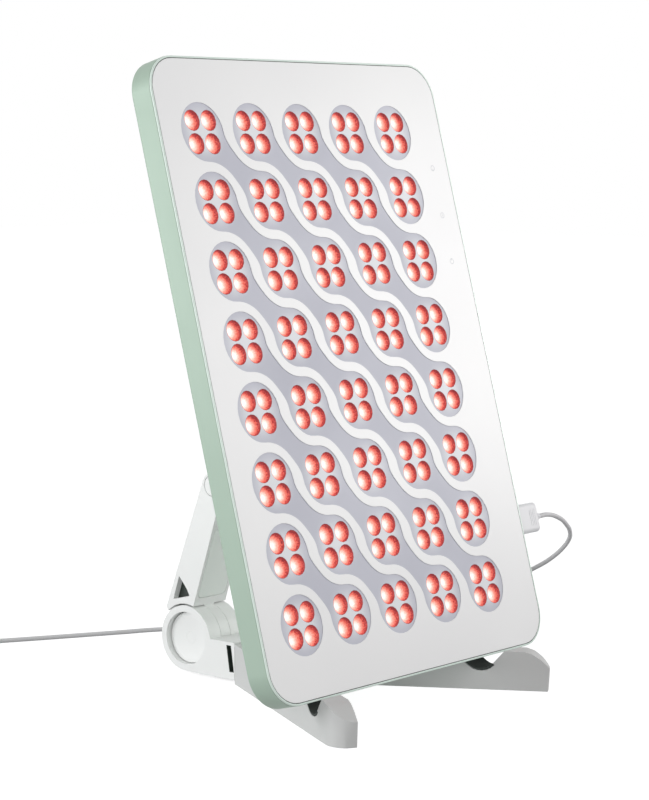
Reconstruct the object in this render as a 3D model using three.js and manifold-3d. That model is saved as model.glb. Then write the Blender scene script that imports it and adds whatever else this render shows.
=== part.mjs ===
// Red light therapy panel on a folding stand.
// Millimetres. +X is the right side of the face, +Y is the back, +Z is up.
// The origin is on the table, midway between the sides and between the toes and the barrel.

import * as THREE from 'three';
import Module from 'manifold-3d';
import { mergeVertices } from 'three/addons/utils/BufferGeometryUtils.js';

const wasm = await Module();
wasm.setup();

// Fits
const seatGap = 0.3;
const runGap = 0.3;
const barrelGap = 1;
const overrun = 6;

// Panel body
const panelWidth = 241.3;
const panelHeight = 348;
const panelDepth = 15;
const panelCorner = 20;
const panelBackRound = 1.5;
const panelTilt = THREE.MathUtils.degToRad(15);
const frameWall = 2;
const gussetSpan = 18.5;

// Layers of the panel, from the face to the back
const plateThickness = 1.2;
const plateLip = 0.35;
const trayThickness = 1.2;
const boardThickness = 1.6;
const spreaderThickness = 2;
const touchThickness = 1.3;
const coverThickness = 1.8;

// Lens grid
const columnPitch = 40.33;
const rowPitch = 38;
const gridLeft = 33.29;
const gridTop = 41.7;
const keyRoom = 46;
const baseRoom = 40;
const windowRadius = 16.3;
const lensRadius = 5.7;
const lensPitch = 12.77;
const lensRise = 1;
const lensTopShare = 0.6;
const lensTurn = THREE.MathUtils.degToRad(30);
const stripThickness = 0.5;
const stripBarWidth = 5;

// Curve of the channel between two windows, as shares of the row pitch
const channelLeaveShare = 0.12;
const channelArriveShare = 0.16;
const channelJoin = THREE.MathUtils.degToRad(37.9);

// Electronics
const controlBoardWidth = 110;
const controlBoardHeight = 56;
const controlInset = 42.65;
const standoffRise = 1.5;
const standoffRadius = 2.4;
const chipRise = 1.4;
const touchBoardWidth = 18;
const touchBoardHeight = 110;
const touchInset = 15.65;
const touchDrop = 80;
const touchClearance = 4;
const coverPostRadius = 3;

// Screws
const screwRadius = 1.4;
const screwHeadRadius = 2.8;
const screwHeadRise = 1;
const screwReach = 8;
const screwInset = 9.6;

// Power inlet and plug
const plugRise = 72.3;
const plugInward = 7;
const plugTall = 16;
const plugThick = 8;
const plugLength = 18;
const tongueTall = 11.8;
const tongueThick = 4.3;
const tongueLength = 11.4;
const socketWall = 2;
const reliefLength = 8;
const reliefRadius = 3.2;
const cordRadius = 1.4;

// Stand
const standDepth = 209.4;
const standHalfWidth = 14;
const barrelRadius = 19.5;
const barrelRise = 21.9;
const knuckleHalf = 4;
const recessRadius = 15.6;
const buttonRadius = 15.1;
const buttonThickness = 1.8;
const buttonSink = 3.5;
const buttonTravel = 1.6;
const buttonDish = 0.9;
const buttonDishShare = 0.75;
const buttonDishRadius = 12.6;
const buttonStemRadius = 2.6;
const springRadius = 9.8;
const springWidth = 4;
const axleRadius = 4;

// Lower arm
const lowerArmLength = 94.65;
const lowerArmLean = THREE.MathUtils.degToRad(13.3);
const elbowRadius = 8;
const forkWall = 4.3;
const pinRadius = 3;
const capRadius = 6.25;
const capThickness = 1.5;
const inlayRim = 2.4;
const inlayDepth = 1.3;
const inlayCorner = 3;
const inlayStart = 6.2;
const inlayLength = 44;
const coreSink = 4;

// Upper arm and panel hinge
const upperArmRadius = 7.5;
const hingeBelowCentre = 40.1;
const hingeBehindBack = 22.3;
const bracketWidth = 60;
const bracketHeight = 70;
const bracketPlate = 4;
const earRadius = 8;
const earFoot = 14;
const bracketScrewSpread = 20;
const bracketScrewReach = 11;
const bossRadius = 4;
const bossRise = 3.8;

// Base
const baseLength = 39.2;
const baseTop = 24;
const baseUnder = 2;
const baseFlare = 1.3;
const slotDepth = 4.2;
const slotWidth = 3.6;
const slotLowFront = 1;
const slotHighFront = 3.4;
const slotLow = 6.5;
const slotHigh = 22.1;
const coverPlateThickness = 1.6;
const coverPlateMargin = 3;
const rearPadWidth = 16;
const rearPadLength = 16;
const rearPadSink = 0.9;

// Legs
const legSplay = THREE.MathUtils.degToRad(30);
const legWidth = 13.5;
const legMeet = 1.57;
const legCornerRadius = 12.5;
const legTop = 22.6;
const legRootTop = 23.7;
const toeLean = 1;
const toeFace = 13.7;
const toeCrown = [
  [-4.2, 18.3],
  [-9, 21.3],
  [-13.3, legTop],
];
const notchBack = 33.6;
const notchRise = 8.6;
const notchFrontWall = THREE.MathUtils.degToRad(52.1);
const notchRearWall = THREE.MathUtils.degToRad(45);
const notchFrontClearance = 2;
const notchRearClearance = 0.8;
const notchRadius = 7;
const notchSteps = 6;
const padThickness = 0.9;
const padFrontRise = 8.1;
const padRearRise = 19;
const footPadLength = 24;
const footPadWidth = 7;
const footPadThickness = 1.2;
const footPadStart = 10;
const tenonLength = 15;
const tenonWidth = 6;
const tenonHeight = 10;
const tenonRise = 8;
const tenonMiddle = 5.1;

// Cord, coil and far plug
const cordSides = 8;
const cordSteps = 66;
const coilSides = 6;
const coilStepsPerTurn = 24;
const coilTurns = 9.25;
const coilLayers = 4;
const coilMiddleRadius = 16;
const coilRadialPitch = 3.9;
const coilLayerPitch = 3.35;
const coilTailLevel = 16;
const coilTailDrop = 30;
const farPlugWidth = 16;
const farPlugThick = 9;
const farPlugLength = 28;
const shellWidth = 12;
const shellThick = 4.5;
const shellLength = 12;
const shellWall = 0.6;
const plugChamfer = 1.2;

// Facets
const fine = 28;
const round = 12;
const small = 6;
const lensSides = 6;
const arcSegments = 2;
const cornerSegments = 3;

// Colours and finishes
const finish = {
  mint: { color: 0xbecfc2, roughness: 0.4, metalness: 0.3 },
  face: { color: 0xe6e7e8, roughness: 0.35, metalness: 0 },
  tray: { color: 0xb9bac6, roughness: 0.5, metalness: 0 },
  lens: { color: 0xe2564a, roughness: 0.15, metalness: 0 },
  board: { color: 0x2f5a3d, roughness: 0.6, metalness: 0 },
  metal: { color: 0xb4b8bb, roughness: 0.35, metalness: 0.9 },
  white: { color: 0xebeceb, roughness: 0.45, metalness: 0 },
  inlay: { color: 0xd3dad3, roughness: 0.4, metalness: 0 },
  dark: { color: 0x232d28, roughness: 0.7, metalness: 0 },
  rubber: { color: 0x3a403d, roughness: 0.85, metalness: 0 },
  cord: { color: 0xb9b4b8, roughness: 0.6, metalness: 0 },
};

// Solids

/** Make a solid of a closed three.js geometry. */
function solidOf(geometry) {
  const bare = geometry.clone();
  bare.deleteAttribute('normal');
  bare.deleteAttribute('uv');
  const merged = mergeVertices(bare);
  const corners = merged.index.array;
  const kept = [];
  for (let i = 0; i < corners.length; i += 3) {
    const [a, b, c] = [corners[i], corners[i + 1], corners[i + 2]];
    if (a !== b && b !== c && c !== a) {
      kept.push(a, b, c);
    }
  }
  return new wasm.Manifold(
    new wasm.Mesh({
      numProp: 3,
      vertProperties: Float32Array.from(merged.attributes.position.array),
      triVerts: Uint32Array.from(kept),
    }),
  );
}

/** Make a three.js geometry of a solid. */
function geometryOf(solid) {
  const mesh = solid.getMesh();
  const geometry = new THREE.BufferGeometry();
  geometry.setAttribute('position', new THREE.BufferAttribute(Float32Array.from(mesh.vertProperties), 3));
  geometry.setIndex(new THREE.BufferAttribute(Uint32Array.from(mesh.triVerts), 1));
  geometry.computeVertexNormals();
  return geometry;
}

const join = (solids) => solids.reduce((whole, solid) => whole.add(solid));
const cut = (solid, tools) => tools.reduce((rest, tool) => rest.subtract(tool), solid);

/** Box between two corners. */
function box(low, high) {
  const [dx, dy, dz] = high.map((value, i) => value - low[i]);
  const middle = high.map((value, i) => (value + low[i]) / 2);
  return solidOf(new THREE.BoxGeometry(dx, dy, dz).translate(...middle));
}

/** Round rod along X from x0 to x1. */
function rodX(radius, x0, x1, y, z, sides = round) {
  const rod = new THREE.CylinderGeometry(radius, radius, x1 - x0, sides);
  rod.rotateZ(Math.PI / 2);
  return solidOf(rod.translate((x0 + x1) / 2, y, z));
}

/** Round rod along Z from z0 to z1. */
function rodZ(radius, z0, z1, x, y, sides = small) {
  const rod = new THREE.CylinderGeometry(radius, radius, z1 - z0, sides);
  rod.rotateX(Math.PI / 2);
  return solidOf(rod.translate(x, y, (z0 + z1) / 2));
}

/** Plate of an outline in X and Y, from z0 to z1. */
function slab(shape, z0, z1, curveSegments = cornerSegments) {
  const options = { depth: z1 - z0, bevelEnabled: false, curveSegments };
  return solidOf(new THREE.ExtrudeGeometry(shape, options).translate(0, 0, z0));
}

const sideways = new THREE.Matrix4().makeBasis(
  new THREE.Vector3(0, 1, 0),
  new THREE.Vector3(0, 0, 1),
  new THREE.Vector3(1, 0, 0),
);

/** Prism of an outline in Y and Z, from x0 to x1. */
function profile(shape, x0, x1) {
  const options = { depth: x1 - x0, bevelEnabled: false, curveSegments: cornerSegments };
  const prism = new THREE.ExtrudeGeometry(shape, options).translate(0, 0, x0);
  return solidOf(prism.applyMatrix4(sideways));
}

/** Both copies of a solid maker, for the left and the right side. */
const bothSides = (make) => [make(-1), make(1)];

/** The same stretch of X on the side asked for: [low, high]. */
const span = (side, inner, outer) => (side > 0 ? [inner, outer] : [-outer, -inner]);

// Outlines

/** Rectangle with round corners about the middle. */
function roundedRectangle(width, height, radius) {
  const shape = new THREE.Shape();
  const x = width / 2 - radius;
  const y = height / 2 - radius;
  shape.moveTo(x + radius, -y);
  shape.absarc(x, y, radius, 0, Math.PI / 2, false);
  shape.absarc(-x, y, radius, Math.PI / 2, Math.PI, false);
  shape.absarc(-x, -y, radius, Math.PI, Math.PI * 1.5, false);
  shape.absarc(x, -y, radius, Math.PI * 1.5, Math.PI * 2, false);
  return shape;
}

const outline = (points) => new THREE.Shape(points.map(([x, y]) => new THREE.Vector2(x, y)));

/** Point where a line from a point touches a circle; side +1 is the left of the line. */
function touchPoint(from, centre, radius, side) {
  const reach = centre.clone().sub(from);
  const turn = side * Math.asin(radius / reach.length());
  const length = Math.sqrt(reach.lengthSq() - radius * radius);
  return reach.normalize().rotateAround(new THREE.Vector2(), turn).multiplyScalar(length).add(from);
}

const angleOf = (point, centre) => Math.atan2(point.y - centre.y, point.x - centre.x);

/** Point where two lines, each given by its normal and its distance, cross. */
function crossing(normalA, distanceA, normalB, distanceB) {
  const scale = normalA.x * normalB.y - normalA.y * normalB.x;
  return new THREE.Vector2(
    (distanceA * normalB.y - distanceB * normalA.y) / scale,
    (normalA.x * distanceB - normalB.x * distanceA) / scale,
  );
}

// Places worked out from the sizes, as points in Y and Z
const barrel = new THREE.Vector2(standDepth / 2 - barrelRadius, barrelRise);
const baseFront = barrel.x - baseLength;
const elbow = new THREE.Vector2(-Math.sin(lowerArmLean), Math.cos(lowerArmLean))
  .multiplyScalar(lowerArmLength)
  .add(barrel);
const notch = new THREE.Vector2(notchBack - standDepth / 2, notchRise);
const notchFront = new THREE.Vector2(-Math.cos(notchFrontWall), Math.sin(notchFrontWall));
const notchRear = new THREE.Vector2(Math.cos(notchRearWall), Math.sin(notchRearWall));
const notchFrontNormal = new THREE.Vector2(Math.sin(notchFrontWall), Math.cos(notchFrontWall));
const notchRearNormal = new THREE.Vector2(-Math.sin(notchRearWall), Math.cos(notchRearWall));
const panelUp = new THREE.Vector2(Math.sin(panelTilt), Math.cos(panelTilt));
const panelBack = new THREE.Vector2(Math.cos(panelTilt), -Math.sin(panelTilt));

/** Point in the notch at a distance inside its front wall and inside its rear wall. */
function inNotch(fromFront, fromRear) {
  return crossing(notchFrontNormal, fromFront, notchRearNormal, fromRear).add(notch);
}

const panelToe = inNotch(
  notchFrontClearance,
  notchRearClearance - panelDepth * panelBack.dot(notchRearNormal),
);
const panelCentre = panelToe.clone().addScaledVector(panelUp, panelHeight / 2);
const hinge = panelCentre
  .clone()
  .addScaledVector(panelUp, -hingeBelowCentre)
  .addScaledVector(panelBack, panelDepth + hingeBehindBack);

// Panel layers as distances in front of the face, all of them negative
const layer = {};
layer.plateBack = -plateThickness;
layer.trayFront = layer.plateBack - seatGap;
layer.trayBack = layer.trayFront - trayThickness;
layer.boardFront = layer.trayBack - seatGap;
layer.boardBack = layer.boardFront - boardThickness;
layer.spreaderFront = layer.boardBack - seatGap;
layer.spreaderBack = layer.spreaderFront - spreaderThickness;
layer.controlFront = layer.spreaderBack - standoffRise - seatGap;
layer.controlBack = layer.controlFront - boardThickness;
layer.back = -panelDepth;
layer.coverFront = layer.back + coverThickness;
layer.bracketFront = layer.back - seatGap;
layer.bracketBack = layer.bracketFront - bracketPlate;
layer.hinge = layer.back - hingeBehindBack;

const innerHalfWidth = panelWidth / 2 - frameWall;
const innerHalfHeight = panelHeight / 2 - frameWall;
const touchColumn = panelWidth / 2 - touchInset;
const touchMiddle = panelHeight / 2 - touchDrop;
const stackRight = touchColumn - touchBoardWidth / 2 - touchClearance;
const plugDrop = panelHeight / 2 - plugRise;
const columns = 1 + Math.floor((panelWidth - gridLeft - keyRoom) / columnPitch);
const rows = 1 + Math.floor((panelHeight - gridTop - baseRoom) / rowPitch);
const screwPlaces = [-1, 1].flatMap((sx) =>
  [-1, 1].map((sy) => [sx * (panelWidth / 2 - screwInset), sy * (panelHeight / 2 - screwInset)]),
);
const hingePlace = [0, -hingeBelowCentre];
const bracketScrewPlaces = [-1, 1].map((side) => [side * bracketScrewSpread, -hingeBelowCentre]);

/** Middle of a window of the lens grid. */
const windowCentre = (column, row) =>
  new THREE.Vector2(
    gridLeft - panelWidth / 2 + column * columnPitch,
    panelHeight / 2 - gridTop - row * rowPitch,
  );

/** Windows of each diagonal strip, from its upper left end. */
const strips = [];
for (let row = rows - 1; row > 0; row -= 1) {
  strips.push({ column: 0, row, count: Math.min(columns, rows - row) });
}
for (let column = 0; column < columns; column += 1) {
  strips.push({ column, row: 0, count: Math.min(columns - column, rows) });
}

/** Outline of the channel that shows one diagonal strip of windows. */
function channelOutline({ column, row, count }) {
  const path = new THREE.Path();
  const quarter = Math.PI / 2;
  const neighbourRadius = rowPitch - windowRadius;
  const leave = rowPitch * channelLeaveShare;
  const arrive = rowPitch * channelArriveShare;
  const tangent = new THREE.Vector2(Math.sin(channelJoin), -Math.cos(channelJoin));
  const offset = new THREE.Vector2(-Math.cos(channelJoin), -Math.sin(channelJoin));
  const joint = offset.multiplyScalar(neighbourRadius);
  const arcs = (centre, first, quarters) => {
    for (let i = 0; i < quarters; i += 1) {
      const start = first - i * quarter;
      path.absarc(centre.x, centre.y, windowRadius, start, start - quarter, true);
    }
  };
  // sign +1 runs down the right side of the strip, -1 runs back up its left side
  const channelSide = (centre, sign) => {
    const neighbour = new THREE.Vector2(centre.x + sign * columnPitch, centre.y);
    const end = neighbour.clone().addScaledVector(joint, sign);
    const fromX = centre.x + sign * windowRadius;
    path.bezierCurveTo(
      fromX,
      centre.y - sign * leave,
      end.x - sign * arrive * tangent.x,
      end.y - sign * arrive * tangent.y,
      end.x,
      end.y,
    );
    const base = sign > 0 ? Math.PI : 0;
    path.absarc(neighbour.x, neighbour.y, neighbourRadius, base + channelJoin, base + quarter, false);
  };
  const first = windowCentre(column, row);
  path.moveTo(first.x, first.y - windowRadius);
  arcs(first, quarter * 3, 3);
  for (let i = 1; i < count; i += 1) {
    channelSide(windowCentre(column + i - 1, row + i - 1), 1);
    arcs(windowCentre(column + i, row + i), quarter, 1);
  }
  for (let i = count - 1; i > 0; i -= 1) {
    const centre = windowCentre(column + i, row + i);
    if (i === count - 1) {
      arcs(centre, 0, 2);
    } else {
      arcs(centre, -quarter, 1);
    }
    channelSide(centre, -1);
  }
  if (count === 1) {
    arcs(first, 0, 1);
  }
  return path;
}

// Pieces of the panel, in the panel's own frame: X right, Y up the face, Z out of the face

/** Outline that fits inside the frame wall and clears the four screw gussets. */
function stackOutline(right) {
  const x0 = seatGap - innerHalfWidth;
  const y0 = seatGap - innerHalfHeight;
  const notchX = x0 + gussetSpan;
  const notchY = y0 + gussetSpan;
  return outline([
    [notchX, y0],
    [right, y0],
    [right, -y0],
    [notchX, -y0],
    [notchX, -notchY],
    [x0, -notchY],
    [x0, notchY],
    [notchX, notchY],
  ]);
}

function panelFrame() {
  const shape = roundedRectangle(
    panelWidth - 2 * panelBackRound,
    panelHeight - 2 * panelBackRound,
    panelCorner - panelBackRound,
  );
  const body = new THREE.ExtrudeGeometry(shape, {
    depth: panelDepth,
    bevelSize: panelBackRound,
    bevelThickness: panelBackRound,
    bevelSegments: 2,
    curveSegments: cornerSegments,
  }).translate(0, 0, layer.back + panelBackRound);
  const front = box([-panelWidth, -panelHeight, 0], [panelWidth, panelHeight, panelDepth]);
  const outer = cut(solidOf(body), [front]);
  const innerShape = roundedRectangle(
    2 * innerHalfWidth,
    2 * innerHalfHeight,
    panelCorner - frameWall,
  );
  const ring = cut(outer, [slab(innerShape, layer.back - overrun, overrun)]);
  const gussetBack = layer.coverFront + seatGap;
  const gussetFront = layer.trayFront;
  const corners = [-1, 1].flatMap((sx) =>
    [-1, 1].map((sy) => {
      const [x0, x1] = span(sx, innerHalfWidth - gussetSpan, panelWidth / 2);
      const [y0, y1] = span(sy, innerHalfHeight - gussetSpan, panelHeight / 2);
      return box([x0, y0, gussetBack], [x1, y1, gussetFront]);
    }),
  );
  const gussets = corners.map((corner) => corner.intersect(outer));
  const holeRadius = screwRadius + seatGap;
  const holeEnd = layer.back + screwHeadRise + screwReach + seatGap;
  const holes = screwPlaces.map(([x, y]) => rodZ(holeRadius, gussetBack - overrun, holeEnd, x, y));
  const mouth = box(
    [innerHalfWidth - overrun, -plugDrop - tongueTall / 2 - seatGap, -plugInward - tongueThick / 2 - seatGap],
    [panelWidth, -plugDrop + tongueTall / 2 + seatGap, -plugInward + tongueThick / 2 + seatGap],
  );
  return cut(join([ring, ...gussets]), [...holes, mouth]);
}

function facePlate() {
  const inset = frameWall + plateLip;
  const shape = roundedRectangle(
    panelWidth - 2 * inset,
    panelHeight - 2 * inset,
    panelCorner - inset,
  );
  shape.holes.push(...strips.map(channelOutline));
  return slab(shape, layer.plateBack, 0, arcSegments);
}

function ledTray() {
  return slab(stackOutline(stackRight), layer.trayBack, layer.trayFront);
}

/** Round lens on its base, with its axis along Z. */
function lens(x, y) {
  const top = lensRadius * lensTopShare;
  const points = [
    [0, 0],
    [lensRadius, 0],
    [top, lensRise],
    [0, lensRise],
  ].map(([r, z]) => new THREE.Vector2(r, z));
  const body = new THREE.LatheGeometry(points, lensSides).rotateX(Math.PI / 2).rotateZ(lensTurn);
  return solidOf(body.translate(x, y, layer.plateBack));
}

/** Strip of red lenses, four to a window on a square base, joined by thin bars. */
function lensStrip({ column, row, count }) {
  const half = lensPitch / 2;
  const corner = new THREE.Vector2(half, -half);
  const bottom = layer.plateBack;
  const top = bottom + stripThickness;
  const solids = [];
  for (let i = 0; i < count; i += 1) {
    const centre = windowCentre(column + i, row + i);
    solids.push(box([centre.x - half, centre.y - half, bottom], [centre.x + half, centre.y + half, top]));
    for (const [sx, sy] of [[-1, -1], [1, -1], [1, 1], [-1, 1]]) {
      solids.push(lens(centre.x + sx * half, centre.y + sy * half));
    }
    if (i > 0) {
      const from = windowCentre(column + i - 1, row + i - 1).add(corner);
      const step = centre.clone().sub(corner).sub(from);
      const bar = new THREE.BoxGeometry(step.length(), stripBarWidth, stripThickness);
      bar.rotateZ(step.angle());
      const middle = from.addScaledVector(step, 0.5);
      solids.push(solidOf(bar.translate(middle.x, middle.y, (bottom + top) / 2)));
    }
  }
  return join(solids);
}

function ledBoard() {
  return slab(stackOutline(stackRight), layer.boardBack, layer.boardFront);
}

const controlMiddle = [
  panelWidth / 2 - controlInset - controlBoardWidth / 2,
  controlBoardHeight / 2 + gussetSpan - innerHalfHeight,
];
const controlCorners = [-1, 1].flatMap((sx) =>
  [-1, 1].map((sy) => [
    controlMiddle[0] + sx * (controlBoardWidth / 2 - 2 * standoffRadius),
    controlMiddle[1] + sy * (controlBoardHeight / 2 - 2 * standoffRadius),
  ]),
);

function heatSpreader() {
  const plate = slab(stackOutline(stackRight), layer.spreaderBack, layer.spreaderFront);
  const back = layer.controlFront + seatGap;
  const posts = controlCorners.map(([x, y]) => rodZ(standoffRadius, back, layer.spreaderFront, x, y));
  return join([plate, ...posts]);
}

function controlBoard() {
  const [x, y] = controlMiddle;
  const halfWidth = controlBoardWidth / 2;
  const halfHeight = controlBoardHeight / 2;
  const board = box(
    [x - halfWidth, y - halfHeight, layer.controlBack],
    [x + halfWidth, y + halfHeight, layer.controlFront],
  );
  // Places and half sizes of the parts on the board, as shares of its half sizes
  const chipShares = [
    [-0.62, 0.2, 0.14, 0.28],
    [-0.1, 0.3, 0.1, 0.2],
    [0.3, 0.25, 0.12, 0.3],
    [0.74, 0.1, 0.09, 0.42],
    [0, -0.5, 0.4, 0.14],
  ];
  const chips = chipShares.map(([cx, cy, sx, sy]) =>
    box(
      [x + (cx - sx) * halfWidth, y + (cy - sy) * halfHeight, layer.controlBack - chipRise],
      [x + (cx + sx) * halfWidth, y + (cy + sy) * halfHeight, layer.controlFront],
    ),
  );
  return join([board, ...chips]);
}

function touchBoard() {
  return box(
    [touchColumn - touchBoardWidth / 2, touchMiddle - touchBoardHeight / 2, layer.trayFront - touchThickness],
    [touchColumn + touchBoardWidth / 2, touchMiddle + touchBoardHeight / 2, layer.trayFront],
  );
}

const plugFace = panelWidth / 2 + seatGap;

function powerSocket() {
  const halfTall = tongueTall / 2 + seatGap;
  const halfThick = tongueThick / 2 + seatGap;
  const right = innerHalfWidth - seatGap;
  const end = plugFace - tongueLength - seatGap;
  const body = box(
    [end - socketWall, -plugDrop - halfTall - socketWall, -plugInward - halfThick - socketWall / 2],
    [right, -plugDrop + halfTall + socketWall, -plugInward + halfThick + socketWall / 2],
  );
  const bore = box(
    [end, -plugDrop - halfTall, -plugInward - halfThick],
    [right + overrun, -plugDrop + halfTall, -plugInward + halfThick],
  );
  return cut(body, [bore]);
}

function rearCover() {
  const shape = roundedRectangle(
    2 * (innerHalfWidth - seatGap),
    2 * (innerHalfHeight - seatGap),
    panelCorner - frameWall - seatGap,
  );
  const plate = slab(shape, layer.back, layer.coverFront);
  const bosses = bracketScrewPlaces.map(([x, y]) =>
    rodZ(bossRadius, layer.back, layer.coverFront + bossRise, x, y),
  );
  // Posts that press the stack against the face plate, as shares of the inner half sizes
  const postShares = [
    [-0.82, 0.72],
    [0.55, 0.72],
    [-0.82, 0],
    [0.55, 0.1],
    [-0.82, -0.72],
  ];
  const posts = postShares.map(([x, y]) =>
    rodZ(
      coverPostRadius,
      layer.back,
      layer.spreaderBack - seatGap,
      x * innerHalfWidth,
      y * innerHalfHeight,
    ),
  );
  const recesses = screwPlaces.map(([x, y]) =>
    rodZ(
      screwHeadRadius + seatGap,
      layer.back - overrun,
      layer.back + screwHeadRise + seatGap,
      x,
      y,
    ),
  );
  const holes = [...screwPlaces, ...bracketScrewPlaces].map(([x, y]) =>
    rodZ(screwRadius + seatGap, layer.back - overrun, overrun, x, y),
  );
  return cut(join([plate, ...bosses, ...posts]), [...recesses, ...holes]);
}

/** Screw with its head's outer face at z, its shank towards +Z. */
function screw(x, y, z, reach) {
  return join([
    rodZ(screwHeadRadius, z, z + screwHeadRise, x, y),
    rodZ(screwRadius, z, z + screwHeadRise + reach, x, y),
  ]);
}

function panelBracket() {
  const [, middle] = hingePlace;
  const plate = box(
    [-bracketWidth / 2, middle - bracketHeight / 2, layer.bracketBack],
    [bracketWidth / 2, middle + bracketHeight / 2, layer.bracketFront],
  );
  const pivot = new THREE.Vector2(middle, layer.hinge);
  const low = new THREE.Vector2(middle - earFoot, layer.bracketBack + bracketPlate / 2);
  const high = new THREE.Vector2(middle + earFoot, layer.bracketBack + bracketPlate / 2);
  const lowTouch = touchPoint(low, pivot, earRadius, -1);
  const highTouch = touchPoint(high, pivot, earRadius, 1);
  const ear = new THREE.Shape();
  ear.moveTo(high.x, high.y);
  ear.lineTo(low.x, low.y);
  ear.lineTo(lowTouch.x, lowTouch.y);
  ear.absarc(pivot.x, pivot.y, earRadius, angleOf(lowTouch, pivot), angleOf(highTouch, pivot), false);
  const ears = bothSides((side) =>
    profile(ear, ...span(side, standHalfWidth - forkWall, standHalfWidth)),
  );
  const bore = rodX(pinRadius + runGap, -panelWidth, panelWidth, pivot.x, pivot.y);
  const holes = bracketScrewPlaces.map(([x, y]) =>
    rodZ(screwRadius + seatGap, layer.bracketBack - overrun, overrun, x, y),
  );
  return cut(join([plate, ...ears]), [bore, ...holes]);
}

function hingePin() {
  return rodX(pinRadius, -standHalfWidth, standHalfWidth, -hingeBelowCentre, layer.hinge);
}

/** Box with its edges along X cut off, from x0 to x1. */
function chamferedBar(x0, x1, y, z, tall, thick, chamfer) {
  const [a, b] = [tall / 2, thick / 2];
  const shape = outline([
    [y - a + chamfer, z - b],
    [y + a - chamfer, z - b],
    [y + a, z - b + chamfer],
    [y + a, z + b - chamfer],
    [y + a - chamfer, z + b],
    [y - a + chamfer, z + b],
    [y - a, z + b - chamfer],
    [y - a, z - b + chamfer],
  ]);
  return profile(shape, x0, x1);
}

function powerPlug() {
  const body = chamferedBar(
    plugFace,
    plugFace + plugLength,
    -plugDrop,
    -plugInward,
    plugTall,
    plugThick,
    plugChamfer,
  );
  const tongue = box(
    [plugFace - tongueLength, -plugDrop - tongueTall / 2, -plugInward - tongueThick / 2],
    [plugFace + plugLength / 2, -plugDrop + tongueTall / 2, -plugInward + tongueThick / 2],
  );
  return join([body, tongue]);
}

const reliefStart = plugFace + plugLength + seatGap;
const cordStart = reliefStart + reliefLength + seatGap;

function strainRelief() {
  const cone = new THREE.CylinderGeometry(cordRadius + seatGap, reliefRadius, reliefLength, small);
  cone.rotateZ(-Math.PI / 2);
  return solidOf(cone.translate(reliefStart + reliefLength / 2, -plugDrop, -plugInward));
}

// Pieces of the stand, in the object's frame

const buttonOuter = standHalfWidth - buttonSink;
const buttonInner = buttonOuter - buttonThickness;
const webOuter = buttonInner - buttonTravel - runGap;
const stemEnd = knuckleHalf + buttonTravel + runGap;
const baseBack = barrel.x - barrelRadius / 2;
const tenonBack = baseFront + tenonLength;

const slotShape = outline([
  [baseFront + slotLowFront, slotLow],
  [baseFront + slotLowFront + slotWidth, slotLow],
  [baseFront + slotHighFront + slotWidth, slotHigh],
  [baseFront + slotHighFront, slotHigh],
]);

function baseHousing() {
  const flareOut = baseFlare * Math.tan(legSplay);
  const block = slab(
    outline([
      [-standHalfWidth, baseBack],
      [-standHalfWidth, baseFront + baseFlare],
      [-standHalfWidth - flareOut, baseFront],
      [standHalfWidth + flareOut, baseFront],
      [standHalfWidth, baseFront + baseFlare],
      [standHalfWidth, baseBack],
    ]),
    baseUnder,
    baseTop,
  );
  const knuckles = bothSides((side) =>
    rodX(barrelRadius, ...span(side, knuckleHalf + runGap, standHalfWidth), barrel.x, barrel.y, fine),
  );
  const heel = outline([
    [baseBack - overrun, baseUnder],
    [barrel.x, barrel.y - barrelRadius],
    [barrel.x, barrel.y],
    [baseBack - overrun, barrel.y],
  ]);
  const heels = bothSides((side) =>
    profile(heel, ...span(side, knuckleHalf + runGap, standHalfWidth)),
  );
  const throat = rodX(
    barrelRadius + barrelGap,
    -knuckleHalf - runGap,
    knuckleHalf + runGap,
    barrel.x,
    barrel.y,
    fine,
  );
  const recesses = bothSides((side) =>
    rodX(recessRadius, ...span(side, webOuter, standHalfWidth + overrun), barrel.x, barrel.y, fine),
  );
  const bore = rodX(axleRadius + seatGap, -standHalfWidth, standHalfWidth, barrel.x, barrel.y);
  const slots = bothSides((side) =>
    profile(slotShape, ...span(side, standHalfWidth - slotDepth, standHalfWidth + overrun)),
  );
  const mortises = bothSides((side) => {
    const [x0, x1] = span(side, tenonMiddle - tenonWidth / 2 - seatGap, tenonMiddle + tenonWidth / 2 + seatGap);
    return box(
      [x0, baseFront - overrun, tenonRise - seatGap],
      [x1, tenonBack + seatGap, tenonRise + tenonHeight + seatGap],
    );
  });
  const plateTop = baseUnder + coverPlateThickness + seatGap;
  const plateHalf = standHalfWidth - coverPlateMargin + seatGap;
  const plateRecess = box(
    [-plateHalf, baseFront + coverPlateMargin - seatGap, -overrun],
    [plateHalf, baseBack - coverPlateMargin + seatGap, plateTop],
  );
  const screwCuts = bothSides((side) => {
    const x = side * tenonMiddle;
    const y = baseFront + tenonLength / 2;
    return join([
      rodZ(screwHeadRadius + seatGap, baseUnder, plateTop + seatGap + screwHeadRise + seatGap, x, y),
      rodZ(screwRadius + seatGap, baseUnder, tenonRise + overrun, x, y),
    ]);
  });
  return cut(join([block, ...knuckles, ...heels]), [
    throat,
    ...recesses,
    bore,
    ...slots,
    ...mortises,
    plateRecess,
    ...screwCuts,
  ]);
}

const rearPadFront = baseFront + (baseBack - baseFront - rearPadLength) / 2;

function baseCover() {
  const half = standHalfWidth - coverPlateMargin;
  const plate = box(
    [-half, baseFront + coverPlateMargin, baseUnder],
    [half, baseBack - coverPlateMargin, baseUnder + coverPlateThickness],
  );
  const pocket = box(
    [-rearPadWidth / 2 - seatGap, rearPadFront - seatGap, baseUnder - overrun],
    [rearPadWidth / 2 + seatGap, rearPadFront + rearPadLength + seatGap, baseUnder + rearPadSink],
  );
  return cut(plate, [pocket]);
}

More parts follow.
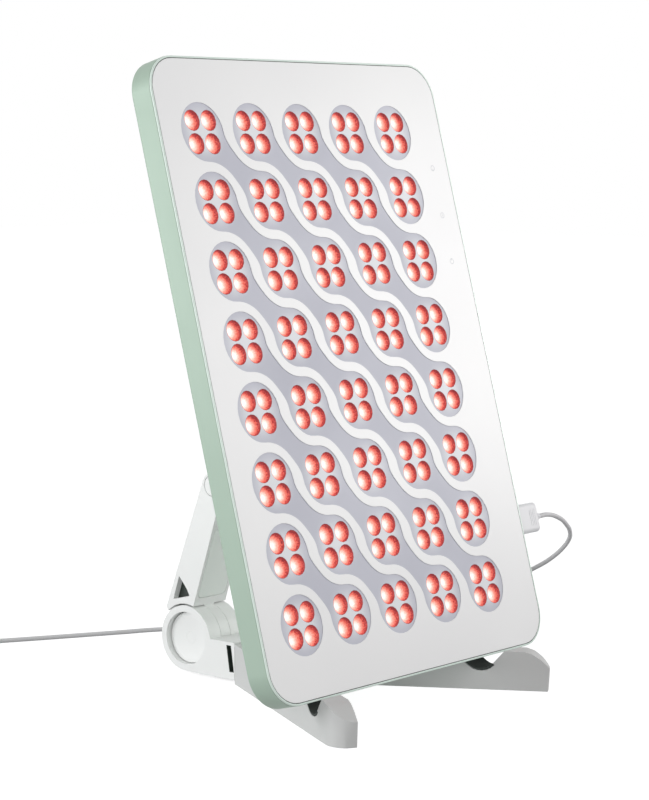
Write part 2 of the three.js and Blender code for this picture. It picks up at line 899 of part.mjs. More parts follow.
function rearPad() {
  return box(
    [-rearPadWidth / 2, rearPadFront, 0],
    [rearPadWidth / 2, rearPadFront + rearPadLength, baseUnder + rearPadSink - seatGap],
  );
}

function barrelAxle() {
  const half = webOuter - seatGap;
  const rod = rodX(axleRadius, -half, half, barrel.x, barrel.y);
  const boreEnd = stemEnd - buttonTravel - runGap;
  const bores = bothSides((side) =>
    rodX(buttonStemRadius + seatGap, ...span(side, boreEnd, standHalfWidth), barrel.x, barrel.y),
  );
  return cut(rod, bores);
}

/** Round push button with a dished face, on the left (-1) or the right (+1). */
function releaseButton(side) {
  const points = [
    [0, stemEnd],
    [buttonStemRadius, stemEnd],
    [buttonStemRadius, buttonInner],
    [buttonRadius, buttonInner],
    [buttonRadius, buttonOuter],
    [buttonDishRadius, buttonOuter],
    [buttonDishRadius / 2, buttonOuter - buttonDish * buttonDishShare],
    [0, buttonOuter - buttonDish],
  ].map(([r, x]) => new THREE.Vector2(r, x));
  const body = new THREE.LatheGeometry(points, fine);
  body.rotateZ(-side * Math.PI / 2);
  return solidOf(body.translate(0, barrel.x, barrel.y));
}

/** Spring washer that lifts a button off the web. */
function buttonSpring(side) {
  const reach = span(side, webOuter + seatGap, buttonInner - seatGap);
  const ring = rodX(springRadius + springWidth / 2, ...reach, barrel.x, barrel.y);
  const hole = rodX(springRadius - springWidth / 2, -standHalfWidth, standHalfWidth, barrel.x, barrel.y);
  return cut(ring, [hole]);
}

// Lower arm

// Corners of the arm's root, as shares of the barrel's radius
const rootRearShare = [0.79, 0.887];
const rootHeelShare = [0.71, 0.75];
const rootFrontShare = [-0.3, 0.94];
const atBarrel = ([y, z]) => new THREE.Vector2(y, z).multiplyScalar(barrelRadius).add(barrel);
const armRear = atBarrel(rootRearShare);
const armFront = atBarrel(rootFrontShare);
const armRearTouch = touchPoint(armRear, elbow, elbowRadius, -1);
const armFrontTouch = touchPoint(armFront, elbow, elbowRadius, 1);

function armOutline() {
  const heel = atBarrel(rootHeelShare);
  const shape = new THREE.Shape();
  shape.moveTo(armFront.x, armFront.y);
  shape.lineTo(armFrontTouch.x, armFrontTouch.y);
  shape.absarc(
    elbow.x,
    elbow.y,
    elbowRadius,
    angleOf(armFrontTouch, elbow),
    angleOf(armRearTouch, elbow),
    true,
  );
  shape.lineTo(armRear.x, armRear.y);
  shape.lineTo(heel.x, heel.y);
  shape.lineTo(armFront.x, heel.y);
  return shape;
}

/** Triangular window in the arm's side, grown by a margin all round. */
function windowOutline(margin) {
  // As shares of the barrel's radius
  const cornerShares = [
    [0.256, 1.851],
    [0.487, 1.149],
    [0.17, 1.235],
    [-0.149, 1.313],
    [-0.056, 1.477],
    [0.077, 1.646],
  ];
  const corners = cornerShares.map(atBarrel);
  const middle = corners
    .reduce((sum, corner) => sum.add(corner), new THREE.Vector2())
    .divideScalar(corners.length);
  const grown = corners.map((corner) => {
    const reach = corner.clone().sub(middle);
    return reach.setLength(reach.length() + margin).add(middle);
  });
  return new THREE.Shape(grown);
}

// Frame of the arm's front face: X, up the face, out of the face
const faceUp = armFrontTouch.clone().sub(armFront).normalize();
const frontFace = new THREE.Matrix4().makeBasis(
  new THREE.Vector3(1, 0, 0),
  new THREE.Vector3(0, faceUp.x, faceUp.y),
  new THREE.Vector3(0, -faceUp.y, faceUp.x),
);
frontFace.setPosition(0, armFront.x, armFront.y);

/** Plate with round corners on the arm's front face, from depth z0 to z1. */
function facePanel(margin, z0, z1) {
  const width = 2 * (standHalfWidth - inlayRim) + 2 * margin;
  const height = inlayLength + 2 * margin;
  const shape = roundedRectangle(width, height, inlayCorner + margin);
  const options = { depth: z1 - z0, bevelEnabled: false, curveSegments: cornerSegments };
  const plate = new THREE.ExtrudeGeometry(shape, options);
  plate.translate(0, inlayStart + inlayLength / 2, z0);
  return solidOf(plate.applyMatrix4(frontFace));
}

/** Outline of the upper arm at rest, with its round ends about the elbow and the hinge. */
function stadium(radius) {
  const start = hinge.clone().sub(elbow).angle() - Math.PI / 2;
  const shape = new THREE.Shape();
  shape.absarc(hinge.x, hinge.y, radius, start, start + Math.PI, false);
  shape.absarc(elbow.x, elbow.y, radius, start + Math.PI, start + 2 * Math.PI, false);
  return shape;
}

function lowerArm() {
  const body = profile(armOutline(), -standHalfWidth, standHalfWidth);
  const clear = bothSides((side) =>
    rodX(
      barrelRadius + barrelGap,
      ...span(side, knuckleHalf, standHalfWidth + overrun),
      barrel.x,
      barrel.y,
      fine,
    ),
  );
  const knuckle = rodX(barrelRadius, -knuckleHalf, knuckleHalf, barrel.x, barrel.y, fine);
  const slotHalf = standHalfWidth - forkWall;
  const slot = join([
    rodX(elbowRadius + barrelGap / 2, -slotHalf, slotHalf, elbow.x, elbow.y),
    profile(stadium(upperArmRadius + barrelGap / 2), -slotHalf, slotHalf),
  ]);
  const capSeats = bothSides((side) =>
    rodX(
      capRadius + seatGap,
      ...span(side, standHalfWidth - capThickness - seatGap, standHalfWidth + overrun),
      elbow.x,
      elbow.y,
    ),
  );
  const pinBore = rodX(pinRadius + seatGap, -standHalfWidth, standHalfWidth, elbow.x, elbow.y);
  const axleBore = rodX(axleRadius + runGap, -standHalfWidth, standHalfWidth, barrel.x, barrel.y);
  const inlaySeat = facePanel(seatGap, -inlayDepth, overrun);
  const core = profile(windowOutline(seatGap), -standHalfWidth - overrun, standHalfWidth + overrun);
  return cut(join([cut(body, clear), knuckle]), [slot, ...capSeats, pinBore, axleBore, inlaySeat, core]);
}

function armCore() {
  const half = standHalfWidth - coreSink;
  return profile(windowOutline(0), -half, half);
}

function armInlay() {
  return facePanel(0, seatGap - inlayDepth, 0);
}

function elbowPin() {
  const half = standHalfWidth - capThickness - seatGap;
  return rodX(pinRadius, -half, half, elbow.x, elbow.y);
}

function elbowCap(side) {
  return rodX(capRadius, ...span(side, standHalfWidth - capThickness, standHalfWidth), elbow.x, elbow.y);
}

function upperArm() {
  const half = standHalfWidth - forkWall - runGap;
  const bores = [elbow, hinge].map((place) =>
    rodX(pinRadius + runGap, -standHalfWidth, standHalfWidth, place.x, place.y),
  );
  return cut(profile(stadium(upperArmRadius), -half, half), bores);
}

// Legs. On each leg s runs to the toe, t runs outwards and z runs up.

const legRootY = baseFront - seatGap;
const toeY = toeLean * Math.cos(legSplay) - standDepth / 2;
const legSpan = (baseFront - legMeet - toeY) / Math.cos(legSplay);

/** Directions and the inner toe corner of a leg. */
function legFrame(side) {
  const ahead = new THREE.Vector2(side * Math.sin(legSplay), -Math.cos(legSplay));
  const outward = new THREE.Vector2(side * Math.cos(legSplay), Math.sin(legSplay));
  const toe = new THREE.Vector2(side * legSpan * Math.sin(legSplay), toeY);
  return { ahead, outward, toe };
}

/** Plan place of a point of a leg. */
function onLeg(side, s, t) {
  const { ahead, outward, toe } = legFrame(side);
  return toe.clone().addScaledVector(ahead, s).addScaledVector(outward, t);
}

/** Plan of a leg, cut off at the base. */
function legPlan(side) {
  const toe = new THREE.Path();
  const corner = legWidth - legCornerRadius;
  toe.moveTo(toeLean, 0);
  toe.lineTo(toeLean, corner);
  toe.absarc(toeLean - legCornerRadius, corner, legCornerRadius, 0, Math.PI / 2, false);
  const { ahead } = legFrame(side);
  const inner = onLeg(side, 0, 0);
  const outer = onLeg(side, 0, legWidth);
  const reachAtX = (from, x) => (x - from.x) / ahead.x;
  const reachAtY = (from, y) => (y - from.y) / ahead.y;
  const middleX = side * seatGap / 2;
  const innerRoot = inner.clone().addScaledVector(ahead, reachAtX(inner, middleX));
  const outerRoot = outer.clone().addScaledVector(ahead, reachAtY(outer, legRootY));
  return new THREE.Shape([
    new THREE.Vector2(middleX, legRootY),
    innerRoot,
    ...toe.getPoints(cornerSegments).map((point) => onLeg(side, point.x, point.y)),
    outerRoot,
  ]);
}

/** Prism across a leg of an outline in s and z. */
function legProfile(side, shape) {
  const { ahead, toe } = legFrame(side);
  const forward = new THREE.Vector3(ahead.x, ahead.y, 0);
  const up = new THREE.Vector3(0, 0, 1);
  const across = forward.clone().cross(up);
  const reach = 4 * legWidth;
  const options = { depth: 2 * reach, bevelEnabled: false, curveSegments: cornerSegments };
  const prism = new THREE.ExtrudeGeometry(shape, options).translate(0, 0, -reach);
  const place = new THREE.Matrix4().makeBasis(forward, up, across);
  place.setPosition(toe.x, toe.y, 0);
  return solidOf(prism.applyMatrix4(place));
}

/** Box in a leg's own directions. */
function legBox(side, [s0, s1], [t0, t1], [z0, z1]) {
  const { ahead } = legFrame(side);
  const body = new THREE.BoxGeometry(s1 - s0, t1 - t0, z1 - z0);
  body.rotateZ(ahead.angle());
  const middle = onLeg(side, (s0 + s1) / 2, (t0 + t1) / 2);
  return solidOf(body.translate(middle.x, middle.y, (z0 + z1) / 2));
}

/** Points of the notch's round bottom, grown by a margin, from its front wall to its rear wall. */
function notchBottom(margin) {
  const middle = inNotch(notchRadius, notchRadius);
  const start = notchFrontNormal.clone().negate().angle();
  const sweep = notchRearNormal.clone().negate().angle() - start;
  return Array.from({ length: notchSteps + 1 }, (_, i) =>
    new THREE.Vector2(notchRadius + margin, 0)
      .rotateAround(new THREE.Vector2(), start + (sweep * i) / notchSteps)
      .add(middle),
  );
}

/** Cut that the panel's lower edge and the rubber pad sit in. */
function notchShape() {
  const seat = padThickness + seatGap;
  const top = 2 * legTop;
  const step = padFrontRise + seatGap;
  return new THREE.Shape([
    notch.clone().addScaledVector(notchFront, top),
    notch.clone().addScaledVector(notchFront, step),
    notch.clone().addScaledVector(notchFront, step).addScaledVector(notchFrontNormal, -seat),
    ...notchBottom(seat),
    notch.clone().addScaledVector(notchRear, top).addScaledVector(notchRearNormal, -seat),
  ]);
}

function padShape() {
  return new THREE.Shape([
    notch.clone().addScaledVector(notchFront, padFrontRise),
    notch.clone().addScaledVector(notchFront, padFrontRise).addScaledVector(notchFrontNormal, -padThickness),
    ...notchBottom(padThickness),
    notch.clone().addScaledVector(notchRear, padRearRise).addScaledVector(notchRearNormal, -padThickness),
    notch.clone().addScaledVector(notchRear, padRearRise),
    ...notchBottom(0).reverse(),
  ]);
}

const footPadSide = (legWidth - footPadWidth) / 2;

function leg(side) {
  const plan = slab(legPlan(side), 0, baseTop);
  const rootS = -legSpan - legWidth;
  const sidePoints = [
    [0, 0],
    [toeLean, toeFace],
    ...toeCrown,
    [-legSpan / 2, legTop],
    [rootS, legRootTop],
    [rootS, 0],
  ];
  const body = plan.intersect(legProfile(side, outline(sidePoints)));
  const [tenonIn, tenonOut] = span(side, tenonMiddle - tenonWidth / 2, tenonMiddle + tenonWidth / 2);
  const tenon = box(
    [tenonIn, legRootY - overrun, tenonRise],
    [tenonOut, tenonBack, tenonRise + tenonHeight],
  );
  const x = side * tenonMiddle;
  const y = baseFront + tenonLength / 2;
  const screwTop = screwLow + screwHeadRise + screwReach + seatGap;
  const screwHole = rodZ(screwRadius + seatGap, 0, screwTop, x, y);
  const padPocket = legBox(
    side,
    [-footPadStart - footPadLength - seatGap, -footPadStart + seatGap],
    [footPadSide - seatGap, legWidth - footPadSide + seatGap],
    [-overrun, footPadThickness + seatGap],
  );
  const notchCut = profile(notchShape(), -standDepth, standDepth);
  return cut(join([body, tenon]), [screwHole, padPocket, notchCut]);
}

const screwLow = baseUnder + coverPlateThickness + 2 * seatGap;

function legScrew(side) {
  return screw(side * tenonMiddle, baseFront + tenonLength / 2, screwLow, screwReach);
}

function notchPad(side) {
  return slab(legPlan(side), 0, baseTop).intersect(profile(padShape(), -standDepth, standDepth));
}

function footPad(side) {
  return legBox(
    side,
    [-footPadStart - footPadLength, -footPadStart],
    [footPadSide, legWidth - footPadSide],
    [0, footPadThickness],
  );
}

// Cord

const panelGroup = new THREE.Group();
panelGroup.position.set(0, panelCentre.x, panelCentre.y);
panelGroup.rotation.x = Math.PI / 2 - panelTilt;
panelGroup.updateMatrixWorld(true);

const cordExit = panelGroup.localToWorld(new THREE.Vector3(cordStart, -plugDrop, -plugInward));

// Route from the strain relief round to the back and along the table to the coil
const routePoints = [
  [174, -49.5, 84.6],
  [187, -45.5, 79],
  [199.5, -40, 72],
  [207, -34, 65.5],
  [209.5, -27.5, 59],
  [207.5, -20, 52],
  [202, -11, 45.5],
  [192, 2, 38],
  [180, 18, 30],
  [168, 38, 22],
  [157, 62, 14],
  [146, 88, 7],
  [132, 114, 2.6],
  [114, 140, 1.4],
  [93, 165, 1.4],
  [70.7, 186.8, 1.4],
  [46.8, 200, 1.4],
  [23.8, 212.7, 1.4],
  [1.1, 225.3, 1.4],
  [-21.1, 238, 1.4],
  [-37, 247, 1.4],
  [-52, 255.5, 1.4],
].map((point) => new THREE.Vector3(...point));
const route = [
  cordExit,
  cordExit.clone().setX(cordExit.x + 6 * cordRadius),
  ...routePoints,
];
const cordEnd = route[route.length - 1];
const cordHeading = cordEnd.clone().sub(route[route.length - 2]).normalize();

function powerCord() {
  const section = new THREE.Shape();
  section.absarc(0, 0, cordRadius, 0, Math.PI * 2, false);
  const tube = new THREE.ExtrudeGeometry(section, {
    steps: cordSteps,
    extrudePath: new THREE.CatmullRomCurve3(route),
    curveSegments: cordSides / 2,
  });
  return solidOf(tube);
}

/** Points along the middle of the coil, from the table up to the top layer. */
function coilPath() {
  const reversal = 0.5;
  const layerTurns = (coilTurns - (coilLayers - 1) * reversal) / coilLayers;
  const cycle = layerTurns + reversal;
  const swing = layerTurns * coilRadialPitch;
  const outerRadius = coilMiddleRadius + swing / 2;
  const left = new THREE.Vector3(-cordHeading.y, cordHeading.x, 0);
  const start = cordEnd.clone().addScaledVector(cordHeading, seatGap);
  const entry = start.clone().addScaledVector(cordHeading, 2 * cordRadius);
  const centre = entry.clone().addScaledVector(left, outerRadius);
  const firstAngle = Math.atan2(-left.y, -left.x);
  const points = [start];
  const steps = Math.round(coilTurns * coilStepsPerTurn);
  for (let i = 0; i <= steps; i += 1) {
    const turn = i / coilStepsPerTurn;
    const floorIndex = Math.min(Math.floor(turn / cycle), coilLayers - 1);
    const inLayer = turn - floorIndex * cycle;
    const inward = Math.min(inLayer, layerTurns) * coilRadialPitch;
    const radius = floorIndex % 2 === 0 ? outerRadius - inward : outerRadius - swing + inward;
    const climb = Math.max(inLayer - layerTurns, 0) / reversal;
    const angle = firstAngle + turn * Math.PI * 2;
    points.push(
      new THREE.Vector3(
        centre.x + radius * Math.cos(angle),
        centre.y + radius * Math.sin(angle),
        cordRadius + (floorIndex + climb) * coilLayerPitch,
      ),
    );
  }
  const last = points[points.length - 1];
  const endAngle = firstAngle + coilTurns * Math.PI * 2;
  const heading = new THREE.Vector3(-Math.sin(endAngle), Math.cos(endAngle), 0);
  const fall = last.z - farPlugThick / 2;
  const tailSteps = 8;
  points.push(last.clone().addScaledVector(heading, coilTailLevel));
  for (let i = 1; i <= tailSteps; i += 1) {
    const share = i / tailSteps;
    const point = last.clone().addScaledVector(heading, coilTailLevel + share * coilTailDrop);
    point.z -= fall * share * share * (3 - 2 * share);
    points.push(point);
  }
  points.push(points[points.length - 1].clone().addScaledVector(heading, 2 * cordRadius));
  return { points, heading };
}

const coil = coilPath();

/** Tube with one closed skin along a list of points. */
function tube(points, radius, sides) {
  const positions = [];
  const index = [];
  const up = new THREE.Vector3(0, 0, 1);
  points.forEach((point, i) => {
    const before = points[Math.max(i - 1, 0)];
    const after = points[Math.min(i + 1, points.length - 1)];
    const along = after.clone().sub(before).normalize();
    const across = along.clone().cross(up).normalize();
    const over = across.clone().cross(along);
    for (let k = 0; k < sides; k += 1) {
      const angle = ((k + 0.5) / sides) * Math.PI * 2;
      const corner = point
        .clone()
        .addScaledVector(across, radius * Math.cos(angle))
        .addScaledVector(over, radius * Math.sin(angle));
      positions.push(corner.x, corner.y, corner.z);
    }
  });
  for (let i = 0; i + 1 < points.length; i += 1) {
    for (let k = 0; k < sides; k += 1) {
      const next = (k + 1) % sides;
      const [a, b] = [i * sides + k, i * sides + next];
      index.push(a, a + sides, b + sides, a, b + sides, b);
    }
  }
  const end = (points.length - 1) * sides;
  for (let k = 1; k + 1 < sides; k += 1) {
    index.push(0, k, k + 1);
    index.push(end, end + k + 1, end + k);
  }
  const geometry = new THREE.BufferGeometry();
  geometry.setAttribute('position', new THREE.BufferAttribute(Float32Array.from(positions), 3));
  geometry.setIndex(index);
  geometry.computeVertexNormals();
  return geometry;
}

/** Least gap between turns of a tube that are further apart along it than half a turn. */
function leastGap(points, radius, apart) {
  const between = 4;
  const samples = [];
  for (let i = 0; i + 1 < points.length; i += 1) {
    for (let k = 0; k < between; k += 1) {
      samples.push(points[i].clone().lerp(points[i + 1], k / between));
    }
  }
  let least = Infinity;
  for (let i = 0; i < samples.length; i += 1) {
    for (let j = i + apart * between; j < samples.length; j += 1) {
      least = Math.min(least, samples[i].distanceTo(samples[j]));
    }
  }
  return least - 2 * radius;
}

console.log('least gap of the coil to itself, mm:', leastGap(coil.points, cordRadius, coilStepsPerTurn / 2).toFixed(2));

const farStart = coil.points[coil.points.length - 1].clone().addScaledVector(coil.heading, seatGap);
const farGroup = new THREE.Group();
farGroup.position.copy(farStart);
farGroup.rotation.z = Math.atan2(coil.heading.y, coil.heading.x);

function farPlug() {
  return chamferedBar(0, farPlugLength, 0, 0, farPlugWidth, farPlugThick, plugChamfer);
}

function farPlugShell() {
  const start = farPlugLength + seatGap;
  const half = [shellWidth / 2, shellThick / 2];
  const body = box([start, -half[0], -half[1]], [start + shellLength, half[0], half[1]]);
  const bore = box(
    [start + shellWall, shellWall - half[0], shellWall - half[1]],
    [start + shellLength + overrun, half[0] - shellWall, half[1] - shellWall],
  );
  return cut(body, [bore]);
}

// The object

const panelObject = new THREE.Group();
const standGroup = new THREE.Group();

/** Add a named piece to a group. */
function add(group, name, geometry, look) {
  const mesh = new THREE.Mesh(geometry, new THREE.MeshStandardMaterial(look));
  mesh.name = name;
  group.add(mesh);
}

const addSolid = (group, name, solid, look) => add(group, name, geometryOf(solid), look);
const sideName = (side) => (side < 0 ? 'left' : 'right');

addSolid(panelGroup, 'panel_frame', panelFrame(), finish.mint);
addSolid(panelGroup, 'face_plate', facePlate(), finish.face);
addSolid(panelGroup, 'led_tray', ledTray(), finish.tray);
strips.forEach((strip, i) => {
  addSolid(panelGroup, `lens_strip_${String(i + 1).padStart(2, '0')}`, lensStrip(strip), finish.lens);
});
addSolid(panelGroup, 'led_board', ledBoard(), finish.board);
addSolid(panelGroup, 'heat_spreader', heatSpreader(), finish.metal);
addSolid(panelGroup, 'control_board', controlBoard(), finish.board);
addSolid(panelGroup, 'touch_board', touchBoard(), finish.board);
addSolid(panelGroup, 'power_socket', powerSocket(), finish.dark);
addSolid(panelGroup, 'rear_cover', rearCover(), finish.mint);
screwPlaces.forEach(([x, y], i) => {
  addSolid(panelGroup, `rear_screw_${i + 1}`, screw(x, y, layer.back, screwReach), finish.metal);
});
addSolid(panelGroup, 'panel_bracket', panelBracket(), finish.white);
bracketScrewPlaces.forEach(([x, y], i) => {
  const head = layer.bracketBack - seatGap - screwHeadRise;
  addSolid(panelGroup, `bracket_screw_${i + 1}`, screw(x, y, head, bracketScrewReach), finish.metal);
});
addSolid(panelGroup, 'panel_hinge_pin', hingePin(), finish.metal);
addSolid(panelGroup, 'power_plug', powerPlug(), finish.white);
addSolid(panelGroup, 'strain_relief', strainRelief(), finish.white);

addSolid(standGroup, 'upper_arm', upperArm(), finish.white);
addSolid(standGroup, 'elbow_pin', elbowPin(), finish.metal);
addSolid(standGroup, 'lower_arm', lowerArm(), finish.white);
addSolid(standGroup, 'arm_core', armCore(), finish.dark);
addSolid(standGroup, 'arm_inlay', armInlay(), finish.inlay);
addSolid(standGroup, 'barrel_axle', barrelAxle(), finish.metal);
addSolid(standGroup, 'base_housing', baseHousing(), finish.white);
addSolid(standGroup, 'base_cover', baseCover(), finish.white);
addSolid(standGroup, 'rear_pad', rearPad(), finish.rubber);
for (const side of [-1, 1]) {
  const name = sideName(side);
  addSolid(standGroup, `elbow_cap_${name}`, elbowCap(side), finish.white);
  addSolid(standGroup, `release_button_${name}`, releaseButton(side), finish.white);
  addSolid(standGroup, `button_spring_${name}`, buttonSpring(side), finish.metal);
  addSolid(standGroup, `${name}_leg`, leg(side), finish.white);
  addSolid(standGroup, `leg_screw_${name}`, legScrew(side), finish.metal);
  addSolid(standGroup, `notch_pad_${name}`, notchPad(side), finish.rubber);
  addSolid(standGroup, `foot_pad_${name}`, footPad(side), finish.rubber);
}

addSolid(standGroup, 'power_cord', powerCord(), finish.cord);
add(standGroup, 'cord_coil', tube(coil.points, cordRadius, coilSides), finish.cord);
addSolid(farGroup, 'far_plug', farPlug(), finish.white);
addSolid(farGroup, 'far_plug_shell', farPlugShell(), finish.metal);

panelObject.add(panelGroup, standGroup, farGroup);

export default panelObject;
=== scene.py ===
"""Looks of a red light therapy panel on a folding stand.

Sizes are in metres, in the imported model's frame: +X is the right side of the face, +Y is the
back and +Z is up.
"""

import logging
import math
from dataclasses import dataclass
from enum import Enum
from typing import Callable, Iterable, Sequence

import bmesh
import bpy
from bmesh.types import BMEdge, BMesh, BMFace, BMVert
from bpy.types import Curve, Material, Mesh, Node, NodeSocket, NodeTree, Object
from mathutils import Matrix, Vector


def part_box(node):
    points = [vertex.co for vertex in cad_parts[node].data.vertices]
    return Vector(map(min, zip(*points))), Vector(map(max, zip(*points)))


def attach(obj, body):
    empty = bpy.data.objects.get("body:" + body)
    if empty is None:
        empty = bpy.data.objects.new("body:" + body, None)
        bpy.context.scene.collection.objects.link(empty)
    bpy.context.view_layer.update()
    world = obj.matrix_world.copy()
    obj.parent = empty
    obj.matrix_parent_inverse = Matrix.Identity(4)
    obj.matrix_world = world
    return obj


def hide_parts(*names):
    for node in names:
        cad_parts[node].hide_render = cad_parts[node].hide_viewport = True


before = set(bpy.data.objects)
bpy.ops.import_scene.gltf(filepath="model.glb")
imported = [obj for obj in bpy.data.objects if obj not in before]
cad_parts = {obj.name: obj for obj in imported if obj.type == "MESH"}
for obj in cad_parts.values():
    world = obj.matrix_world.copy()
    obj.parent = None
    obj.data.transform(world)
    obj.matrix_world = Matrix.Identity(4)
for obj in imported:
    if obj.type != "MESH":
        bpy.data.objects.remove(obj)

log = logging.getLogger("light_panel")

Colour = tuple[float, float, float, float]
Place = tuple[float, float, float]
Socket = tuple[str, str, object]
Feeds = dict[str | int, object]

SIDES = {"left": -1, "right": 1}
X_AXIS, Z_AXIS = Vector((1, 0, 0)), Vector((0, 0, 1))
QUARTER = math.pi / 2
PURE_WHITE: Colour = (1.0, 1.0, 1.0, 1.0)

# Distances under which places are one: in a new mesh, in a node's mesh, and in a test
MERGE, NODE_MERGE, NEAR = 1e-7, 2e-6, 1e-6

# Steps round a corner of a ring, and the turn under which two faces are one flat face
CORNER_STEPS, FLAT_TURN = 20, math.radians(0.5)

# Ends of the range that most of a noise texture's values fill
NOISE_LOW, NOISE_HIGH = 0.3, 0.7

# Colour inputs and output of a Mix node
MIX_FIRST, MIX_SECOND, MIX_RESULT = 6, 7, 2


def tone(red: int, green: int, blue: int) -> Colour:
    """Return the linear colour of a display colour from 0 to 255.

    Args:
        red: level of red.
        green: level of green.
        blue: level of blue.

    Returns:
        Linear red, green and blue, and an alpha of 1.
    """

    def linear(value: int) -> float:
        """Return the linear level of one channel."""
        share = value / 255
        return share / 12.92 if share <= 0.04045 else ((share + 0.055) / 1.055) ** 2.4

    return (linear(red), linear(green), linear(blue), 1.0)


# Shader groups that several finishes share


class NodeBench:
    """A node tree with short calls to add nodes and feed their inputs."""

    def __init__(self, tree: NodeTree) -> None:
        """Keep the tree that the calls work on."""
        self.tree = tree

    def add(self, kind: str, feeds: Feeds | None = None, **settings: object) -> Node:
        """Add a node.

        Args:
            kind: name of the node's type, without its first word ShaderNode.
            feeds: value or source of each input, by the input's name or number.
            settings: attributes of the node to set.

        Returns:
            The new node.
        """
        node = self.tree.nodes.new("ShaderNode" + kind)
        for name, value in settings.items():
            setattr(node, name, value)
        self.feed(node, feeds or {})
        return node

    def feed(self, node: Node, feeds: Feeds) -> None:
        """Set a node's inputs, or link those whose value is another node's output.

        Args:
            node: the node.
            feeds: value or source of each input, by its name or number.
        """
        for key, value in feeds.items():
            if isinstance(value, NodeSocket):
                self.tree.links.new(value, node.inputs[key])
            else:
                node.inputs[key].default_value = value


def shader_group(name: str, inputs: Iterable[Socket], outputs: Iterable[Socket]) -> NodeBench:
    """Start a shader node group.

    Args:
        name: the group's name.
        inputs: name, kind and default value of each input.
        outputs: name, kind and default value of each output.

    Returns:
        A bench on the new group, with its input and output nodes added.
    """
    tree = bpy.data.node_groups.new(name, "ShaderNodeTree")
    for direction, sockets in (("INPUT", inputs), ("OUTPUT", outputs)):
        for label, kind, default in sockets:
            socket = tree.interface.new_socket(
                label, in_out=direction, socket_type=f"NodeSocket{kind}"
            )
            if default is not None:
                socket.default_value = default
    tree.nodes.new("NodeGroupInput").name = "in"
    tree.nodes.new("NodeGroupOutput").name = "out"
    return NodeBench(tree)


def fine_grain_group() -> NodeTree:
    """Return the group that gives the height of a moulded or brushed surface."""
    name = "fine_grain"
    if name in bpy.data.node_groups:
        return bpy.data.node_groups[name]
    bench = shader_group(
        name, [("Vector", "Vector", None), ("Scale", "Float", 1500.0)], [("Height", "Float", None)]
    )
    source = bench.tree.nodes["in"].outputs
    place = {"Vector": source["Vector"], "Scale": source["Scale"]}
    fine = bench.add("TexNoise", {**place, "Detail": 3.0, "Roughness": 0.6})
    pits = bench.add("TexVoronoi", place, feature="SMOOTH_F1")
    height = bench.add(
        "Math", {0: fine.outputs["Fac"], 1: pits.outputs["Distance"]}, operation="MULTIPLY"
    )
    bench.feed(bench.tree.nodes["out"], {"Height": height.outputs[0]})
    return bench.tree


def tone_drift_group() -> NodeTree:
    """Return the group that lets colour and roughness wander slowly over a surface."""
    name = "tone_drift"
    if name in bpy.data.node_groups:
        return bpy.data.node_groups[name]
    bench = shader_group(
        name,
        [
            ("Vector", "Vector", None),
            ("Scale", "Float", 12.0),
            ("Light", "Color", None),
            ("Dark", "Color", None),
            ("Smooth", "Float", 0.4),
            ("Rough", "Float", 0.5),
        ],
        [("Colour", "Color", None), ("Roughness", "Float", None)],
    )
    source = bench.tree.nodes["in"].outputs
    drift = bench.add(
        "TexNoise", {"Vector": source["Vector"], "Scale": source["Scale"], "Detail": 4.0}
    )
    spread = bench.add(
        "MapRange", {"Value": drift.outputs["Fac"], "From Min": NOISE_LOW, "From Max": NOISE_HIGH}
    )
    share = spread.outputs["Result"]
    blend = bench.add(
        "Mix", {"Factor": share, MIX_FIRST: source["Light"], MIX_SECOND: source["Dark"]},
        data_type="RGBA",
    )
    polish = bench.add(
        "MapRange", {"Value": share, "To Min": source["Smooth"], "To Max": source["Rough"]}
    )
    bench.feed(
        bench.tree.nodes["out"],
        {"Colour": blend.outputs[MIX_RESULT], "Roughness": polish.outputs["Result"]},
    )
    return bench.tree


# Finishes


@dataclass(frozen=True)
class Finish:
    """A surface finish: its material slot in the record and its values."""

    name: str
    slot: str
    light: Colour
    dark: Colour
    smooth: float = 0.42
    rough: float = 0.5
    metallic: float = 0.0
    grain: float = 2200.0
    relief: float = 0.05
    drift: float = 11.0
    stretch: Place = (1.0, 1.0, 1.0)
    coat: float = 0.0
    coat_roughness: float = 0.08
    bump_depth: float = 0.0003

    def material(self) -> Material:
        """Return the finish's material, made at its first use."""
        if self.name in bpy.data.materials:
            return bpy.data.materials[self.name]
        material = bpy.data.materials.new(self.name)
        material.use_nodes = True
        bench = NodeBench(material.node_tree)
        shader = material.node_tree.nodes["Principled BSDF"]
        place = bench.add("TexCoord").outputs["Object"]
        turn = bench.add("Mapping", {"Vector": place, "Scale": self.stretch})
        vector = turn.outputs["Vector"]
        self.colour(bench, shader, vector)
        grain = bench.add(
            "Group", {"Vector": vector, "Scale": self.grain}, node_tree=fine_grain_group()
        )
        height = grain.outputs["Height"]
        bump = bench.add(
            "Bump", {"Height": height, "Strength": self.relief, "Distance": self.bump_depth}
        )
        bench.feed(shader, {
            "Metallic": self.metallic,
            "Coat Weight": self.coat,
            "Coat Roughness": self.coat_roughness,
            "Normal": bump.outputs["Normal"],
        })
        return material

    def colour(self, bench: NodeBench, shader: Node, vector: NodeSocket) -> None:
        """Feed the shader's colour and roughness.

        Args:
            bench: the material's bench.
            shader: the material's Principled BSDF.
            vector: the place on the surface.
        """
        values = {
            "Vector": vector, "Scale": self.drift, "Light": self.light, "Dark": self.dark,
            "Smooth": self.smooth, "Rough": self.rough,
        }
        drift = bench.add("Group", values, node_tree=tone_drift_group()).outputs
        bench.feed(shader, {"Base Color": drift["Colour"], "Roughness": drift["Roughness"]})


